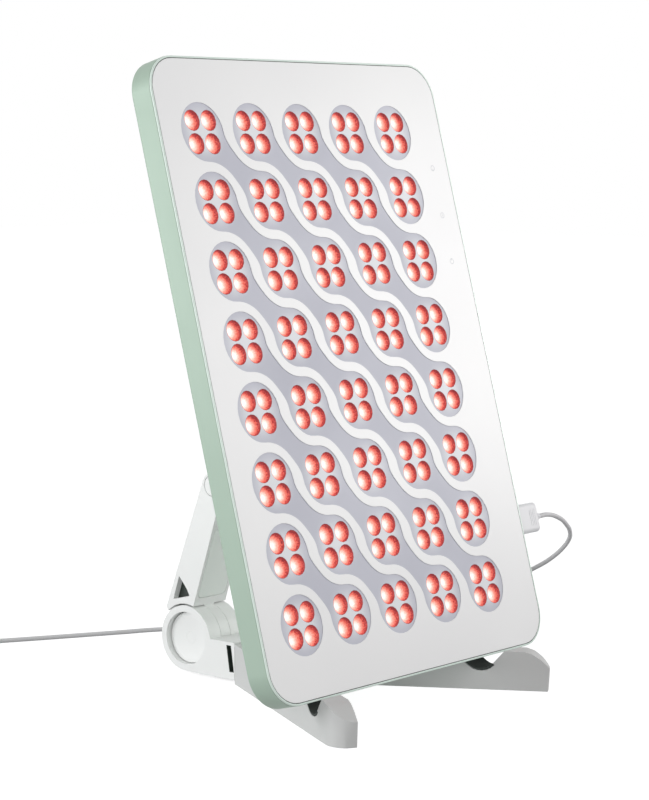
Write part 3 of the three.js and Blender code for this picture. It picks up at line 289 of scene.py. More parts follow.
@dataclass(frozen=True)
class LensFinish(Finish):
    """Red reflector bowl with a bright emitter at the middle of the lens map, whose hot spot is painted
    off the bowl's middle.
    """

    glow: float = 0.9
    spread: Place = (0.62, 0.82, 0.0)
    flaw: float = 0.09
    flaw_scale: float = 1300.0
    rings: tuple[tuple[float, Colour], ...] = ()

    def colour(self, bench: NodeBench, shader: Node, vector: NodeSocket) -> None:
        """Feed colour and glow by the distance from the middle of the lens map, where the painted hot
        spot lies.

        Args:
            bench: the material's bench.
            shader: the material's Principled BSDF.
            vector: the place on the surface.
        """
        spot = bench.add("UVMap", uv_map="lens").outputs["UV"]
        shrink = bench.add("VectorMath", {0: spot, 1: self.spread}, operation="MULTIPLY")
        reach = bench.add("VectorMath", {0: shrink.outputs["Vector"]}, operation="LENGTH")
        noise = bench.add("TexNoise", {"Vector": vector, "Scale": self.flaw_scale})
        sway = bench.add("MapRange", {
            "Value": noise.outputs["Fac"], "From Min": NOISE_LOW, "From Max": NOISE_HIGH,
            "To Min": -self.flaw, "To Max": self.flaw,
        })
        total = bench.add(
            "Math", {0: reach.outputs["Value"], 1: sway.outputs["Result"]}, operation="ADD"
        )
        ramp = bench.add("ValToRGB", {"Fac": total.outputs[0]})
        points = ramp.color_ramp.elements
        while len(points) < len(self.rings):
            points.new(0.5)
        for point, (place, tint) in zip(points, self.rings):
            point.position = place
            point.color = tint
        shade = ramp.outputs["Color"]
        bench.feed(shader, {
            "Base Color": shade, "Emission Color": shade, "Emission Strength": self.glow,
            "Roughness": self.smooth,
        })


@dataclass(frozen=True)
class PaintedGlowFinish(Finish):
    """Tray colour with a painted glow of the LEDs: it pales towards the middle of each window, by the
    window map.
    """

    painted_glow: Colour = PURE_WHITE
    inner: float = 0.12
    outer: float = 0.46

    def colour(self, bench: NodeBench, shader: Node, vector: NodeSocket) -> None:
        """Feed colour, with the painted glow, by the distance from the nearest window's middle.

        Args:
            bench: the material's bench.
            shader: the material's Principled BSDF.
            vector: the place on the surface.
        """
        super().colour(bench, shader, vector)
        drift = shader.inputs["Base Color"].links[0].from_socket
        spot = bench.add("UVMap", uv_map="windows").outputs["UV"]
        part = bench.add("VectorMath", {0: spot}, operation="FRACTION").outputs["Vector"]
        centred = bench.add("VectorMath", {0: part, 1: (0.5, 0.5, 0.0)}, operation="SUBTRACT")
        reach = bench.add("VectorMath", {0: centred.outputs["Vector"]}, operation="LENGTH")
        fade = bench.add(
            "MapRange",
            {"Value": reach.outputs["Value"], "From Min": self.inner, "From Max": self.outer},
            interpolation_type="SMOOTHSTEP",
        )
        # Painted glow: the tray's colour turns to the pale glow colour near each window's middle.
        blend = bench.add(
            "Mix", {"Factor": fade.outputs["Result"], MIX_FIRST: self.painted_glow, MIX_SECOND: drift},
            data_type="RGBA",
        )
        bench.feed(shader, {"Base Color": blend.outputs[MIX_RESULT]})


MINT = Finish(
    "satin_mint", "mint_metal", tone(163, 183, 168), tone(157, 177, 162), 0.46, 0.54,
    metallic=0.12, relief=0.03,
)
# The lip is the frame's mint made lighter: a painted highlight on the frame's front edge.
LIP_PAINTED_HIGHLIGHT = Finish(
    "mint_lip_painted_highlight", "mint_metal", tone(226, 240, 232), tone(220, 236, 227), 0.3, 0.36,
    relief=0.01,
)
BACK = Finish("mint_cover", "mint_plastic", tone(193, 210, 197), tone(187, 205, 191), 0.45, 0.55)
FACE = Finish(
    "face_plate_white", "face_white", tone(242, 242, 242), tone(238, 238, 239), 0.4, 0.46,
    relief=0.012, drift=5.0,
)
LENS = LensFinish(
    "lit_red_lens", "red_lens", tone(226, 92, 80), tone(200, 60, 52), 0.5, 0.5, relief=0.0,
    coat=0.04, glow=0.42,
    rings=(
        (0.0, tone(255, 253, 251)),
        (0.17, tone(255, 246, 240)),
        (0.36, tone(251, 212, 201)),
        (0.53, tone(245, 162, 144)),
        (0.66, tone(235, 120, 104)),
        (0.77, tone(196, 66, 60)),
        (0.86, tone(150, 44, 46)),
        (1.0, tone(114, 38, 45)),
    ),
)
# Tray with a painted pool of LED light round each window.
TRAY = PaintedGlowFinish(
    "lilac_tray", "tray_grey", tone(196, 197, 209), tone(190, 191, 203), 0.5, 0.6, relief=0.03,
    painted_glow=tone(234, 235, 240),
)
BOARD = Finish("solder_mask", "circuit_board", tone(52, 96, 68), tone(38, 78, 54), 0.3, 0.5)
METAL = Finish(
    "satin_metal", "bright_metal", tone(190, 193, 196), tone(172, 176, 180), 0.28, 0.42,
    metallic=0.95, grain=900.0, stretch=(0.15, 1.0, 1.0), relief=0.12,
)
WHITE = Finish("moulded_white", "stand_white", tone(240, 241, 240), tone(236, 237, 236), 0.42, 0.5)
# The stand's white plastic made darker on the legs: painted shade on the toes and sides.
LEG_PAINTED_SHADE = Finish("white_with_painted_shade", "stand_white", tone(207, 208, 207), tone(201, 202, 201), 0.45, 0.55)
INLAY = Finish("inlay_grey_green", "inlay_grey", tone(241, 245, 241), tone(236, 241, 237), 0.38, 0.46)
# Dark plastic of the power socket, also used as painted shade: the gap ring behind the lip, the arm's
# pocket core and the slot linings.
DARK_AND_PAINTED_SHADE = Finish("dark_moulding_and_painted_shade", "dark_plastic", tone(52, 62, 57), tone(33, 42, 37), 0.55, 0.7)
RUBBER = Finish(
    "dull_rubber", "rubber", tone(66, 72, 69), tone(50, 56, 53), 0.75, 0.9, relief=0.2, grain=1200.0,
)
OVERMOULD = Finish("white_overmould", "cord_white", tone(240, 240, 242), tone(233, 233, 236), 0.45, 0.55)
JACKET = Finish("cord_jacket", "cord_grey", tone(214, 213, 215), tone(205, 204, 206), 0.5, 0.62)
MARK = Finish("touch_mark_grey", "face_white", tone(196, 197, 202), tone(188, 190, 196), 0.4, 0.5)


# Mesh work


def full_turn(
    bm: BMesh, points: Sequence[tuple[float, float]], axis: Vector, side: Vector, steps: int
) -> None:
    """Spin a half section round an axis through the origin.

    Args:
        bm: the mesh to add to.
        points: distance from the axis and place along it, from end to end.
        axis: direction of the axis.
        side: direction square to the axis in which the section lies.
        steps: steps of the full turn.
    """
    corners = [bm.verts.new(side * reach + axis * along) for reach, along in points]
    edges = [bm.edges.new(pair) for pair in zip(corners, corners[1:])]
    bmesh.ops.spin(
        bm, geom=[*corners, *edges], cent=Vector(), axis=axis, angle=math.tau, steps=steps,
        use_merge=True,
    )
    bmesh.ops.remove_doubles(bm, verts=bm.verts, dist=MERGE)
    bmesh.ops.recalc_face_normals(bm, faces=bm.faces)


def add_box(bm: BMesh, size: Place, middle: Place = (0.0, 0.0, 0.0)) -> None:
    """Add a box of a size about a point.

    Args:
        bm: the mesh to add to.
        size: length of its sides.
        middle: its middle.
    """
    bmesh.ops.create_cube(
        bm, size=1.0, matrix=Matrix.LocRotScale(Vector(middle), None, Vector(size))
    )


def add_sheet(bm: BMesh, size: tuple[float, float], middle: Place) -> None:
    """Add a flat rectangle of a size in X and Y about a point.

    Args:
        bm: the mesh to add to.
        size: its width and height.
        middle: its middle.
    """
    spread = Matrix.LocRotScale(Vector(middle), None, Vector((*size, 1)))
    bmesh.ops.create_grid(bm, x_segments=1, y_segments=1, size=0.5, matrix=spread)


def inset_faces(bm: BMesh, faces: Sequence[BMFace], wall: float) -> None:
    """Shrink a flat region and leave a wall of a width round it.

    Args:
        bm: the mesh.
        faces: the region.
        wall: width of the wall.
    """
    bmesh.ops.inset_region(
        bm, faces=faces, thickness=wall, use_boundary=True, use_even_offset=True
    )


def leave_ring(bm: BMesh, wall: float) -> None:
    """Cut the middle out of a flat mesh and leave a ring of a width.

    Args:
        bm: the mesh.
        wall: width of the ring.
    """
    middle = list(bm.faces)
    inset_faces(bm, middle, wall)
    bmesh.ops.delete(bm, geom=middle, context="FACES_ONLY")


def raise_faces(bm: BMesh, faces: Iterable[BMFace], shift: Vector) -> list[BMFace]:
    """Extrude a region of faces.

    Args:
        bm: the mesh.
        faces: the region.
        shift: way from the region to its far copy.

    Returns:
        The faces of the far copy.
    """
    made = bmesh.ops.extrude_face_region(bm, geom=list(faces))["geom"]
    moved = [part for part in made if isinstance(part, BMVert)]
    bmesh.ops.translate(bm, vec=shift, verts=moved)
    return [part for part in made if isinstance(part, BMFace)]


def rounded_ring(
    bm: BMesh, size: tuple[float, float], corner: float, wall: float, depths: tuple[float, float]
) -> None:
    """Make a closed ring with round corners about the Z axis.

    Args:
        bm: the empty mesh to fill.
        size: outer width along X and height along Y.
        corner: outer radius of the corners.
        wall: thickness of the ring in its own plane.
        depths: lower and upper Z.
    """
    low, high = depths
    add_sheet(bm, size, (0.0, 0.0, low))
    bmesh.ops.bevel(
        bm, geom=list(bm.verts), offset=corner, offset_type="OFFSET", segments=CORNER_STEPS,
        profile=0.5, affect="VERTICES", material=-1,
    )
    leave_ring(bm, wall)
    raise_faces(bm, bm.faces, Z_AXIS * (high - low))
    bmesh.ops.recalc_face_normals(bm, faces=bm.faces)


def soften(bm: BMesh, radius: float, segments: int, wanted: Callable[[BMEdge], bool]) -> None:
    """Round the edges that a test picks.

    Args:
        bm: the mesh.
        radius: width of the rounding.
        segments: steps across the rounding.
        wanted: test of one edge.
    """
    edges = [edge for edge in bm.edges if edge.is_manifold and wanted(edge)]
    bmesh.ops.bevel(
        bm, geom=edges, offset=radius, offset_type="OFFSET", segments=segments, profile=0.5,
        affect="EDGES", clamp_overlap=True, material=-1,
    )


def sharper_than(degrees: float) -> Callable[[BMEdge], bool]:
    """Return a test for edges whose faces turn by more than an angle.

    Args:
        degrees: the angle.

    Returns:
        The test, for soften.
    """
    limit = math.radians(degrees)
    return lambda edge: edge.calc_face_angle(0.0) > limit


def copy_of(node: str) -> BMesh:
    """Return a merged copy of a node's mesh, with its flat faces made whole.

    Args:
        node: the CAD node.

    Returns:
        The copy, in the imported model's frame.
    """
    bm = bmesh.new()
    bm.from_mesh(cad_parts[node].data)
    bmesh.ops.remove_doubles(bm, verts=bm.verts, dist=NODE_MERGE)
    bmesh.ops.dissolve_limit(bm, angle_limit=FLAT_TURN, verts=bm.verts, edges=bm.edges)
    return bm


def finished_mesh(name: str, bm: BMesh) -> Mesh:
    """Return a new mesh with a bmesh's shape, and free the bmesh.

    Args:
        name: name of the mesh.
        bm: the shape.

    Returns:
        The new mesh.
    """
    mesh = bpy.data.meshes.new(name)
    bm.to_mesh(mesh)
    bm.free()
    return mesh


def put_in_scene(name: str, data: bpy.types.ID) -> Object:
    """Return a new object in the scene that holds some data.

    Args:
        name: name of the object.
        data: its mesh, curve, lamp or camera.

    Returns:
        The new object.
    """
    made = bpy.data.objects.new(name, data)
    bpy.context.scene.collection.objects.link(made)
    return made


def add_piece(
    name: str, source: BMesh | Mesh, finish: Finish, body: str, stands_for: Sequence[str] = (),
    crease: float = 32.0, place: Matrix | None = None,
) -> None:
    """Turn a mesh into a finished piece that rides on a body.

    Args:
        name: the piece's name.
        source: its mesh.
        finish: its finish.
        body: the body that carries it.
        stands_for: CAD nodes that it replaces.
        crease: angle in degrees past which an edge stays sharp.
        place: where the mesh goes, if it isn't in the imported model's frame yet.
    """
    mesh = finished_mesh(name, source) if isinstance(source, BMesh) else source
    mesh.name = name
    if place:
        mesh.transform(place)
    mesh.shade_smooth()
    mesh.set_sharp_from_angle(angle=math.radians(crease))
    mesh.materials.append(finish.material())
    piece = put_in_scene(name, mesh)
    normals = piece.modifiers.new("even_normals", "WEIGHTED_NORMAL")
    normals.keep_sharp = True
    normals.weight = 100
    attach(piece, body)
    if stands_for:
        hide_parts(*stands_for)
    log.info("%s: %d faces, rides on %s", name, len(mesh.polygons), body)


def add_rounded(
    name: str, node: str, finish: Finish, body: str, radius: float, segments: int = 3,
    turn: float = 50.0,
) -> None:
    """Add a piece that has a node's shape with its sharp edges rounded, and replace the node.

    Args:
        name: the piece's name.
        node: the CAD node.
        finish: the piece's finish.
        body: the body that carries it.
        radius: width of the rounding.
        segments: steps across the rounding.
        turn: angle in degrees past which an edge is rounded.
    """
    bm = copy_of(node)
    soften(bm, radius, segments, sharper_than(turn))
    add_piece(name, bm, finish, body, [node])


def dress(finish: Finish, *nodes: str) -> None:
    """Give CAD nodes a finish and leave their shape alone.

    Args:
        finish: the finish.
        nodes: the nodes' names.
    """
    for node in nodes:
        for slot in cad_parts[node].material_slots:
            slot.link = "OBJECT"
            slot.material = finish.material()
        log.info("%s: dressed as %s", node, finish.name)


# Outlines of flat plates


@dataclass
class Knot:
    """A point of a Bezier outline with the handles before and after it."""

    place: Vector
    before: Vector
    after: Vector


class Outline:
    """A closed Bezier outline in X and Y, drawn stroke by stroke."""

    def __init__(self, start: Vector) -> None:
        """Begin the outline at a point."""
        self.knots = [Knot(start.copy(), start.copy(), start.copy())]

    def curve_to(self, leave: Vector, arrive: Vector, end: Vector) -> None:
        """Draw a curve.

        Args:
            leave: handle after the last point.
            arrive: handle before the new point.
            end: the new point.
        """
        self.knots[-1].after = leave
        self.knots.append(Knot(end, arrive, end.copy()))

    def arc(self, centre: Vector, radius: float, start: float, sweep: float) -> None:
        """Draw an arc from where the outline stands.

        Args:
            centre: middle of the arc.
            radius: its radius.
            start: angle of its first point.
            sweep: angle that it covers, above 0 counter-clockwise.
        """
        count = max(1, math.ceil(abs(sweep) / QUARTER - NEAR))
        step = sweep / count
        reach = radius * 4 / 3 * math.tan(step / 4)
        for i in range(count):
            a, b = start + i * step, start + (i + 1) * step
            first = centre + Vector((math.cos(a), math.sin(a))) * radius
            last = centre + Vector((math.cos(b), math.sin(b))) * radius
            self.curve_to(
                first + Vector((-math.sin(a), math.cos(a))) * reach,
                last - Vector((-math.sin(b), math.cos(b))) * reach,
                last,
            )

    def add_to(self, curve: Curve) -> None:
        """Add the outline to a flat curve as a closed spline.

        Args:
            curve: the curve.
        """
        knots = self.knots
        if (knots[-1].place - knots[0].place).length < MERGE:
            knots[0].before = knots.pop().before
        spline = curve.splines.new("BEZIER")
        spline.bezier_points.add(len(knots) - 1)
        spline.use_cyclic_u = True
        for point, knot in zip(spline.bezier_points, knots):
            point.handle_left_type = point.handle_right_type = "FREE"
            point.co = knot.place.to_3d()
            point.handle_left = knot.before.to_3d()
            point.handle_right = knot.after.to_3d()


def rounded_outline(width: float, height: float, corner: float) -> Outline:
    """Return a rectangle with round corners about the origin.

    Args:
        width: size along X.
        height: size along Y.
        corner: radius of the corners.

    Returns:
        The outline, counter-clockwise.
    """
    x, y = width / 2 - corner, height / 2 - corner
    made = Outline(Vector((width / 2, y)))

    def straight_to(end: Vector) -> None:
        """Draw a straight side."""
        last = made.knots[-1].place
        made.curve_to(last.lerp(end, 1 / 3), last.lerp(end, 2 / 3), end)

    for i, (sx, sy) in enumerate(((1, 1), (-1, 1), (-1, -1), (1, -1))):
        centre, start = Vector((sx * x, sy * y)), i * QUARTER
        if i > 0:
            straight_to(centre + Vector((math.cos(start), math.sin(start))) * corner)
        made.arc(centre, corner, start, QUARTER)
    straight_to(made.knots[0].place.copy())
    return made


def round_outline(centre: Vector, radius: float) -> Outline:
    """Return a circle.

    Args:
        centre: its middle.
        radius: its radius.

    Returns:
        The outline.
    """
    made = Outline(centre + Vector((radius, 0)))
    made.arc(centre, radius, 0.0, math.tau)
    return made


def flat_plate(
    name: str, outlines: Iterable[Outline], depths: tuple[float, float], edge: float,
    steps: int = 8, rounds: int = 1,
) -> Mesh:
    """Make a flat plate of outlines, with holes where one lies in another.

    Args:
        name: name of the mesh.
        outlines: the plate's outer line and its holes.
        depths: lower and upper Z.
        edge: radius of its rounded edges.
        steps: steps of each curved stroke.
        rounds: steps across a rounded edge, past the first.

    Returns:
        The plate's mesh.
    """
    low, high = depths
    curve = bpy.data.curves.new(name, "CURVE")
    curve.dimensions = "2D"
    curve.fill_mode = "BOTH"
    curve.resolution_u = steps
    curve.extrude = (high - low) / 2 - edge
    curve.bevel_depth = edge
    curve.bevel_resolution = rounds
    curve.offset = -edge
    for made in outlines:
        made.add_to(curve)
    holder = put_in_scene(name, curve)
    bpy.context.view_layer.update()
    mesh = bpy.data.meshes.new_from_object(
        holder.evaluated_get(bpy.context.evaluated_depsgraph_get())
    )
    bpy.data.objects.remove(holder)
    bpy.data.curves.remove(curve)
    bm = bmesh.new()
    bm.from_mesh(mesh)
    bmesh.ops.remove_doubles(bm, verts=bm.verts, dist=MERGE)
    bmesh.ops.translate(bm, vec=Z_AXIS * ((low + high) / 2), verts=bm.verts)
    bmesh.ops.recalc_face_normals(bm, faces=bm.faces)
    bm.to_mesh(mesh)
    bm.free()
    return mesh


# Camera, lights and floor


class Lamp(Enum):
    """The studio's lamps: place, target, size, power, spread in degrees and colour."""

    RIGHT = ((1.09, -0.72, 0.5), (0.0, -0.02, 0.35), 0.5, 1.35, 66, (255, 254, 253))
    FRONT = ((-1.45, -0.8, 0.5), (0.0, 0.0, 0.15), 0.7, 6.8, 180, (255, 254, 254))
    LEFT = ((-1.1, 0.85, 0.42), (0.0, 0.02, 0.12), 0.8, 9.8, 180, (253, 254, 255))


@dataclass
class Studio:
    """Camera at the photograph's viewpoint, soft lamps and a pale floor."""

    location: Place = (-1.05336, -0.89648, 0.30993)
    right: Place = (0.64408, -0.76496, 0.0)
    up: Place = (0.07861, 0.06619, 0.99471)
    lens: float = 111.09
    sensor: float = 36.0
    clip_start: float = 0.05
    clip_end: float = 50.0
    world_level: float = 0.42
    floor_half: float = 6.0
    floor_lift: float = 0.84
    floor_roughness: float = 0.9
    floor_tone: tuple[int, int, int] = (176, 177, 178)

    def camera(self) -> None:
        """Make the camera."""
        data = bpy.data.cameras.new("camera")
        data.lens = self.lens
        data.sensor_width = self.sensor
        data.clip_start = self.clip_start
        data.clip_end = self.clip_end
        camera = put_in_scene("camera", data)
        right, up = Vector(self.right), Vector(self.up)
        turned = Matrix((right, up, right.cross(up))).transposed().to_4x4()
        camera.matrix_world = Matrix.Translation(self.location) @ turned
        bpy.context.scene.camera = camera

    def lamps(self) -> None:
        """Make the soft area lamps."""
        for lamp in Lamp:
            place, target, size, power, spread, shade = lamp.value
            data = bpy.data.lights.new(lamp.name.lower(), "AREA")
            data.shape = "DISK"
            data.size = size
            data.energy = power
            data.spread = math.radians(spread)
            data.color = tone(*shade)[:3]
            holder = put_in_scene(data.name, data)
            holder.location = place
            aim = Vector(target) - Vector(place)
            holder.rotation_euler = aim.to_track_quat("-Z", "Y").to_euler()

    @staticmethod
    def seen(bench: NodeBench) -> NodeSocket:
        """Return a mask of the rays that look at the background.

        Args:
            bench: bench of the world or the floor.

        Returns:
            An output of 1 for camera, glossy and transmission rays.
        """
        rays = bench.add("LightPath").outputs
        mask = rays["Is Camera Ray"]
        for ray in ("Is Glossy Ray", "Is Transmission Ray"):
            mask = bench.add("Math", {0: mask, 1: rays[ray]}, operation="MAXIMUM").outputs[0]
        return mask

    def world(self) -> None:
        """Make an even grey world that the camera and glossy surfaces see as white."""
        world = bpy.data.worlds.new("studio")
        world.use_nodes = True
        bpy.context.scene.world = world
        bench = NodeBench(world.node_tree)
        nodes = world.node_tree.nodes
        fill = nodes["Background"]
        bench.feed(fill, {"Color": PURE_WHITE, "Strength": self.world_level})
        white = bench.add("Background", {"Color": PURE_WHITE})
        mix = bench.add(
            "MixShader", {0: self.seen(bench), 1: fill.outputs[0], 2: white.outputs[0]}
        )
        bench.feed(nodes["World Output"], {"Surface": mix.outputs[0]})

    def floor(self) -> None:
        """Make the floor, white to the camera, with the object's soft shadow on it."""
        bm = bmesh.new()
        bmesh.ops.create_grid(bm, x_segments=1, y_segments=1, size=self.floor_half)
        material = bpy.data.materials.new("white_floor")
        material.use_nodes = True
        bench = NodeBench(material.node_tree)
        lift = bench.add("Math", {0: self.seen(bench), 1: self.floor_lift}, operation="MULTIPLY")
        bench.feed(material.node_tree.nodes["Principled BSDF"], {
            "Base Color": tone(*self.floor_tone),
            "Roughness": self.floor_roughness,
            "Specular IOR Level": 0.0,
            "Emission Color": PURE_WHITE,
            "Emission Strength": lift.outputs[0],
        })
        mesh = finished_mesh("floor", bm)
        mesh.materials.append(material)
        put_in_scene("floor", mesh)

    def build(self) -> None:
        """Make everything but the camera."""
        self.lamps()
        self.world()
        self.floor()
        bpy.context.scene.view_settings.view_transform = "Standard"


# The power lead


@dataclass
class PowerLead:
    """Flat plug in the panel's right side, with its cord, the coil put away and the far plug."""

    radius: float = 0.0014
    turns: float = 9.25
    layers: int = 4
    middle_radius: float = 0.016
    radial_pitch: float = 0.0039
    layer_pitch: float = 0.00335
    steps_per_turn: int = 24
    reversal: float = 0.5
    tail_level: float = 0.016
    tail_drop: float = 0.03
    tail_steps: int = 8
    end_gap: float = 0.0003
    far_height: float = 0.0045
    far_round: float = 0.0012
    plug_size: Place = (0.021, 0.0176, 0.0092)
    plug_stretch: float = 0.003
    plug_gap: float = 0.0003
    plug_swell: float = 0.0009
    plug_round: float = 0.0026
    end_round: float = 0.0022
    ribs: int = 4
    rib_width: float = 0.0008
    rib_rise: float = 0.00015
    rib_share: float = 0.55
    relief_radius: float = 0.0031
    relief_wall: float = 0.0004
    relief_round: float = 0.0004
    relief_sides: int = 32
    grooves: int = 4
    groove_depth: float = 0.00035
    groove_shares: tuple[float, float] = (0.55, 0.85)
    groove_spare_share: float = 0.4
    groove_slope_share: float = 0.03
    tip_share: float = 0.97
    tip_round: float = 0.0003
    exit_point: Place = (0.14755, -0.0527374, 0.0890157)
    route: tuple[Place, ...] = (
        (0.174, -0.0495, 0.0846),
        (0.187, -0.0455, 0.079),
        (0.1995, -0.04, 0.072),
        (0.207, -0.034, 0.0655),
        (0.2095, -0.0275, 0.059),
        (0.2075, -0.02, 0.052),
        (0.202, -0.011, 0.0455),
        (0.192, 0.002, 0.038),
        (0.18, 0.018, 0.03),
        (0.168, 0.038, 0.022),
        (0.157, 0.062, 0.014),
        (0.146, 0.088, 0.007),
        (0.132, 0.114, 0.0026),
        (0.114, 0.14, 0.0014),
        (0.093, 0.165, 0.0014),
        (0.0707, 0.1868, 0.0014),
        (0.0468, 0.2, 0.0014),
        (0.0238, 0.2127, 0.0014),
        (0.0011, 0.2253, 0.0014),
        (-0.0211, 0.238, 0.0014),
        (-0.037, 0.247, 0.0014),
        (-0.052, 0.2555, 0.0014),
    )

    def free_points(self) -> list[Vector]:
        """Return the points from the strain relief to the coil."""
        start = Vector(self.exit_point)
        return [start, start + Vector((6 * self.radius, 0, 0)), *map(Vector, self.route)]

    def coil_points(self, free: Sequence[Vector]) -> list[Vector]:
        """Return the points of the coil and its tail.

        Args:
            free: the points that lead to it.

        Returns:
            The coil's points from the floor up, then down the tail to the far plug.
        """
        heading = (free[-1] - free[-2]).normalized()
        left = Vector((-heading.y, heading.x, 0))
        layer_turns = (self.turns - (self.layers - 1) * self.reversal) / self.layers
        cycle = layer_turns + self.reversal
        swing = layer_turns * self.radial_pitch
        outer = self.middle_radius + swing / 2
        entry = free[-1] + heading * (self.end_gap + 2 * self.radius)
        centre = entry + left * outer
        first = math.atan2(-left.y, -left.x)
        points = []
        for i in range(round(self.turns * self.steps_per_turn) + 1):
            turn = i / self.steps_per_turn
            level = min(int(turn / cycle), self.layers - 1)
            inside = turn - level * cycle
            inward = min(inside, layer_turns) * self.radial_pitch
            reach = outer - inward if level % 2 == 0 else outer - swing + inward
            climb = max(inside - layer_turns, 0) / self.reversal
            angle = first + turn * math.tau
            points.append(Vector((
                centre.x + reach * math.cos(angle),
                centre.y + reach * math.sin(angle),
                self.radius + (level + climb) * self.layer_pitch,
            )))
        last = points[-1]
        angle = first + self.turns * math.tau
        away = Vector((-math.sin(angle), math.cos(angle), 0))
        points.append(last + away * self.tail_level)
        for i in range(1, self.tail_steps + 1):
            share = i / self.tail_steps
            ease = share * share * (3 - 2 * share)
            drop = Z_AXIS * ((last.z - self.far_height) * ease)
            points.append(last + away * (self.tail_level + share * self.tail_drop) - drop)
        points.append(points[-1] + away * 2 * self.radius)
        return points

    def cord(self) -> None:
        free = self.free_points()
        points = [*free, *self.coil_points(free)]
        curve = bpy.data.curves.new("power_cord_line", "CURVE")
        curve.dimensions = "3D"
        curve.bevel_depth = self.radius
        curve.bevel_resolution = 3
        curve.resolution_u = 6
        curve.use_fill_caps = True
        spline = curve.splines.new("BEZIER")
        spline.bezier_points.add(len(points) - 1)
        for knot, point in zip(spline.bezier_points, points):
            knot.co = point
            knot.handle_left_type = knot.handle_right_type = "AUTO"
        curve.materials.append(JACKET.material())
        piece = put_in_scene("power_cord_line", curve)
        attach(piece, "panel")
        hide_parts("power_cord", "cord_coil")

    def strain_relief(self) -> None:
        """Make the tapered strain relief with its grooves."""
        low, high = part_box("strain_relief")
        low.x += self.plug_stretch
        length = high.x - low.x
        wide, thin = self.relief_radius, self.radius + self.relief_wall
        section = [(0.0, 0.0), (wide - self.relief_round, 0.0), (wide, self.relief_round)]
        for i in range(self.grooves):
            start, end = (
                (i + share) / (self.grooves + self.groove_spare_share)
                for share in self.groove_shares
            )
            for share, sink in (
                (start, 0.0),
                (start + self.groove_slope_share, self.groove_depth),
                (end - self.groove_slope_share, self.groove_depth),
                (end, 0.0),
            ):
                section.append((wide + (thin - wide) * share - sink, length * share))
        section.append((thin, length * self.tip_share))
        section += [(thin - self.tip_round, length), (0.0, length)]
        bm = bmesh.new()
        full_turn(bm, section, X_AXIS, Z_AXIS, self.relief_sides)
        middle = (low + high) / 2
        place = Matrix.Translation((low.x, middle.y, middle.z))
        add_piece("strain_relief_cone", bm, OVERMOULD, "panel", ["strain_relief"], place=place)

    def near_plug(self) -> None:
        """Make the flat plug with its round end and its grip ribs."""
        width, height, depth = self.plug_size
        low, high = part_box("power_plug")
        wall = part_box("panel_frame")[1].x
        bm = bmesh.new()
        add_box(bm, self.plug_size)

        def along(edge: BMEdge) -> bool:
            """Say whether an edge runs along the plug."""
            return abs((edge.verts[1].co - edge.verts[0].co).normalized().x) > 0.9

        def at_end(edge: BMEdge) -> bool:
            """Say whether an edge bounds the plug's outer end."""
            return all(vertex.co.x > width / 2 - NEAR for vertex in edge.verts)

        soften(bm, self.plug_round, 6, along)
        soften(bm, self.end_round, 5, at_end)
        rib = (self.rib_width, height * self.rib_share, depth + 2 * self.rib_rise)
        for i in range(self.ribs):
            add_box(bm, rib, (width / 2 - self.end_round - (i + 1) * 2 * self.rib_width, 0.0, 0.0))
        reach, swell = wall - low.x + self.plug_gap, 2 * self.plug_swell
        core = (reach, height - swell, depth - swell)
        add_box(bm, core, (-(width + reach) / 2, 0.0, 0.0))
        turned = PanelShell().place().to_3x3().to_4x4()
        middle = (low + high) / 2
        middle.x = wall + self.plug_gap + width / 2
        place = Matrix.Translation(middle) @ turned
        add_piece("power_plug_body", bm, OVERMOULD, "panel", ["power_plug"], place=place)

    def build(self) -> None:
        """Make the plugs, the strain relief and the cord."""
        add_rounded("far_plug_body", "far_plug", OVERMOULD, "panel", self.far_round, segments=4, turn=40)
        self.near_plug()
        self.strain_relief()
        dress(METAL, "far_plug_shell")
        self.cord()


# The panel


@dataclass(frozen=True)
class SocketScrew:
    """A screw along Z, its head's outer face at the origin and its shank towards +Z."""

    head: float = 0.0025
    rise: float = 0.001
    shank: float = 0.0014
    reach: float = 0.008
    socket_share: float = 0.45
    socket_depth_share: float = 0.6
    rim_share: float = 0.88
    rim_depth_share: float = 0.25
    sides: int = 24

    def mesh(self) -> BMesh:
        """Return the screw with a hexagon socket in its head."""
        socket, floor = self.head * self.socket_share, self.rise * self.socket_depth_share
        section = [
            (0.0, floor),
            (socket, floor),
            (socket, 0.0),
            (self.head * self.rim_share, 0.0),
            (self.head, self.rise * self.rim_depth_share),
            (self.head, self.rise),
            (self.shank, self.rise),
            (self.shank, self.rise + self.reach),
            (0.0, self.rise + self.reach),
        ]
        bm = bmesh.new()
        full_turn(bm, section, Z_AXIS, X_AXIS, self.sides)
        half_side = math.pi / 6
        for vertex in bm.verts:
            if abs(vertex.co.xy.length - socket) < NEAR:
                angle = math.atan2(vertex.co.y, vertex.co.x) % (2 * half_side) - half_side
                vertex.co.xy *= math.cos(half_side) / math.cos(angle)
        return bm


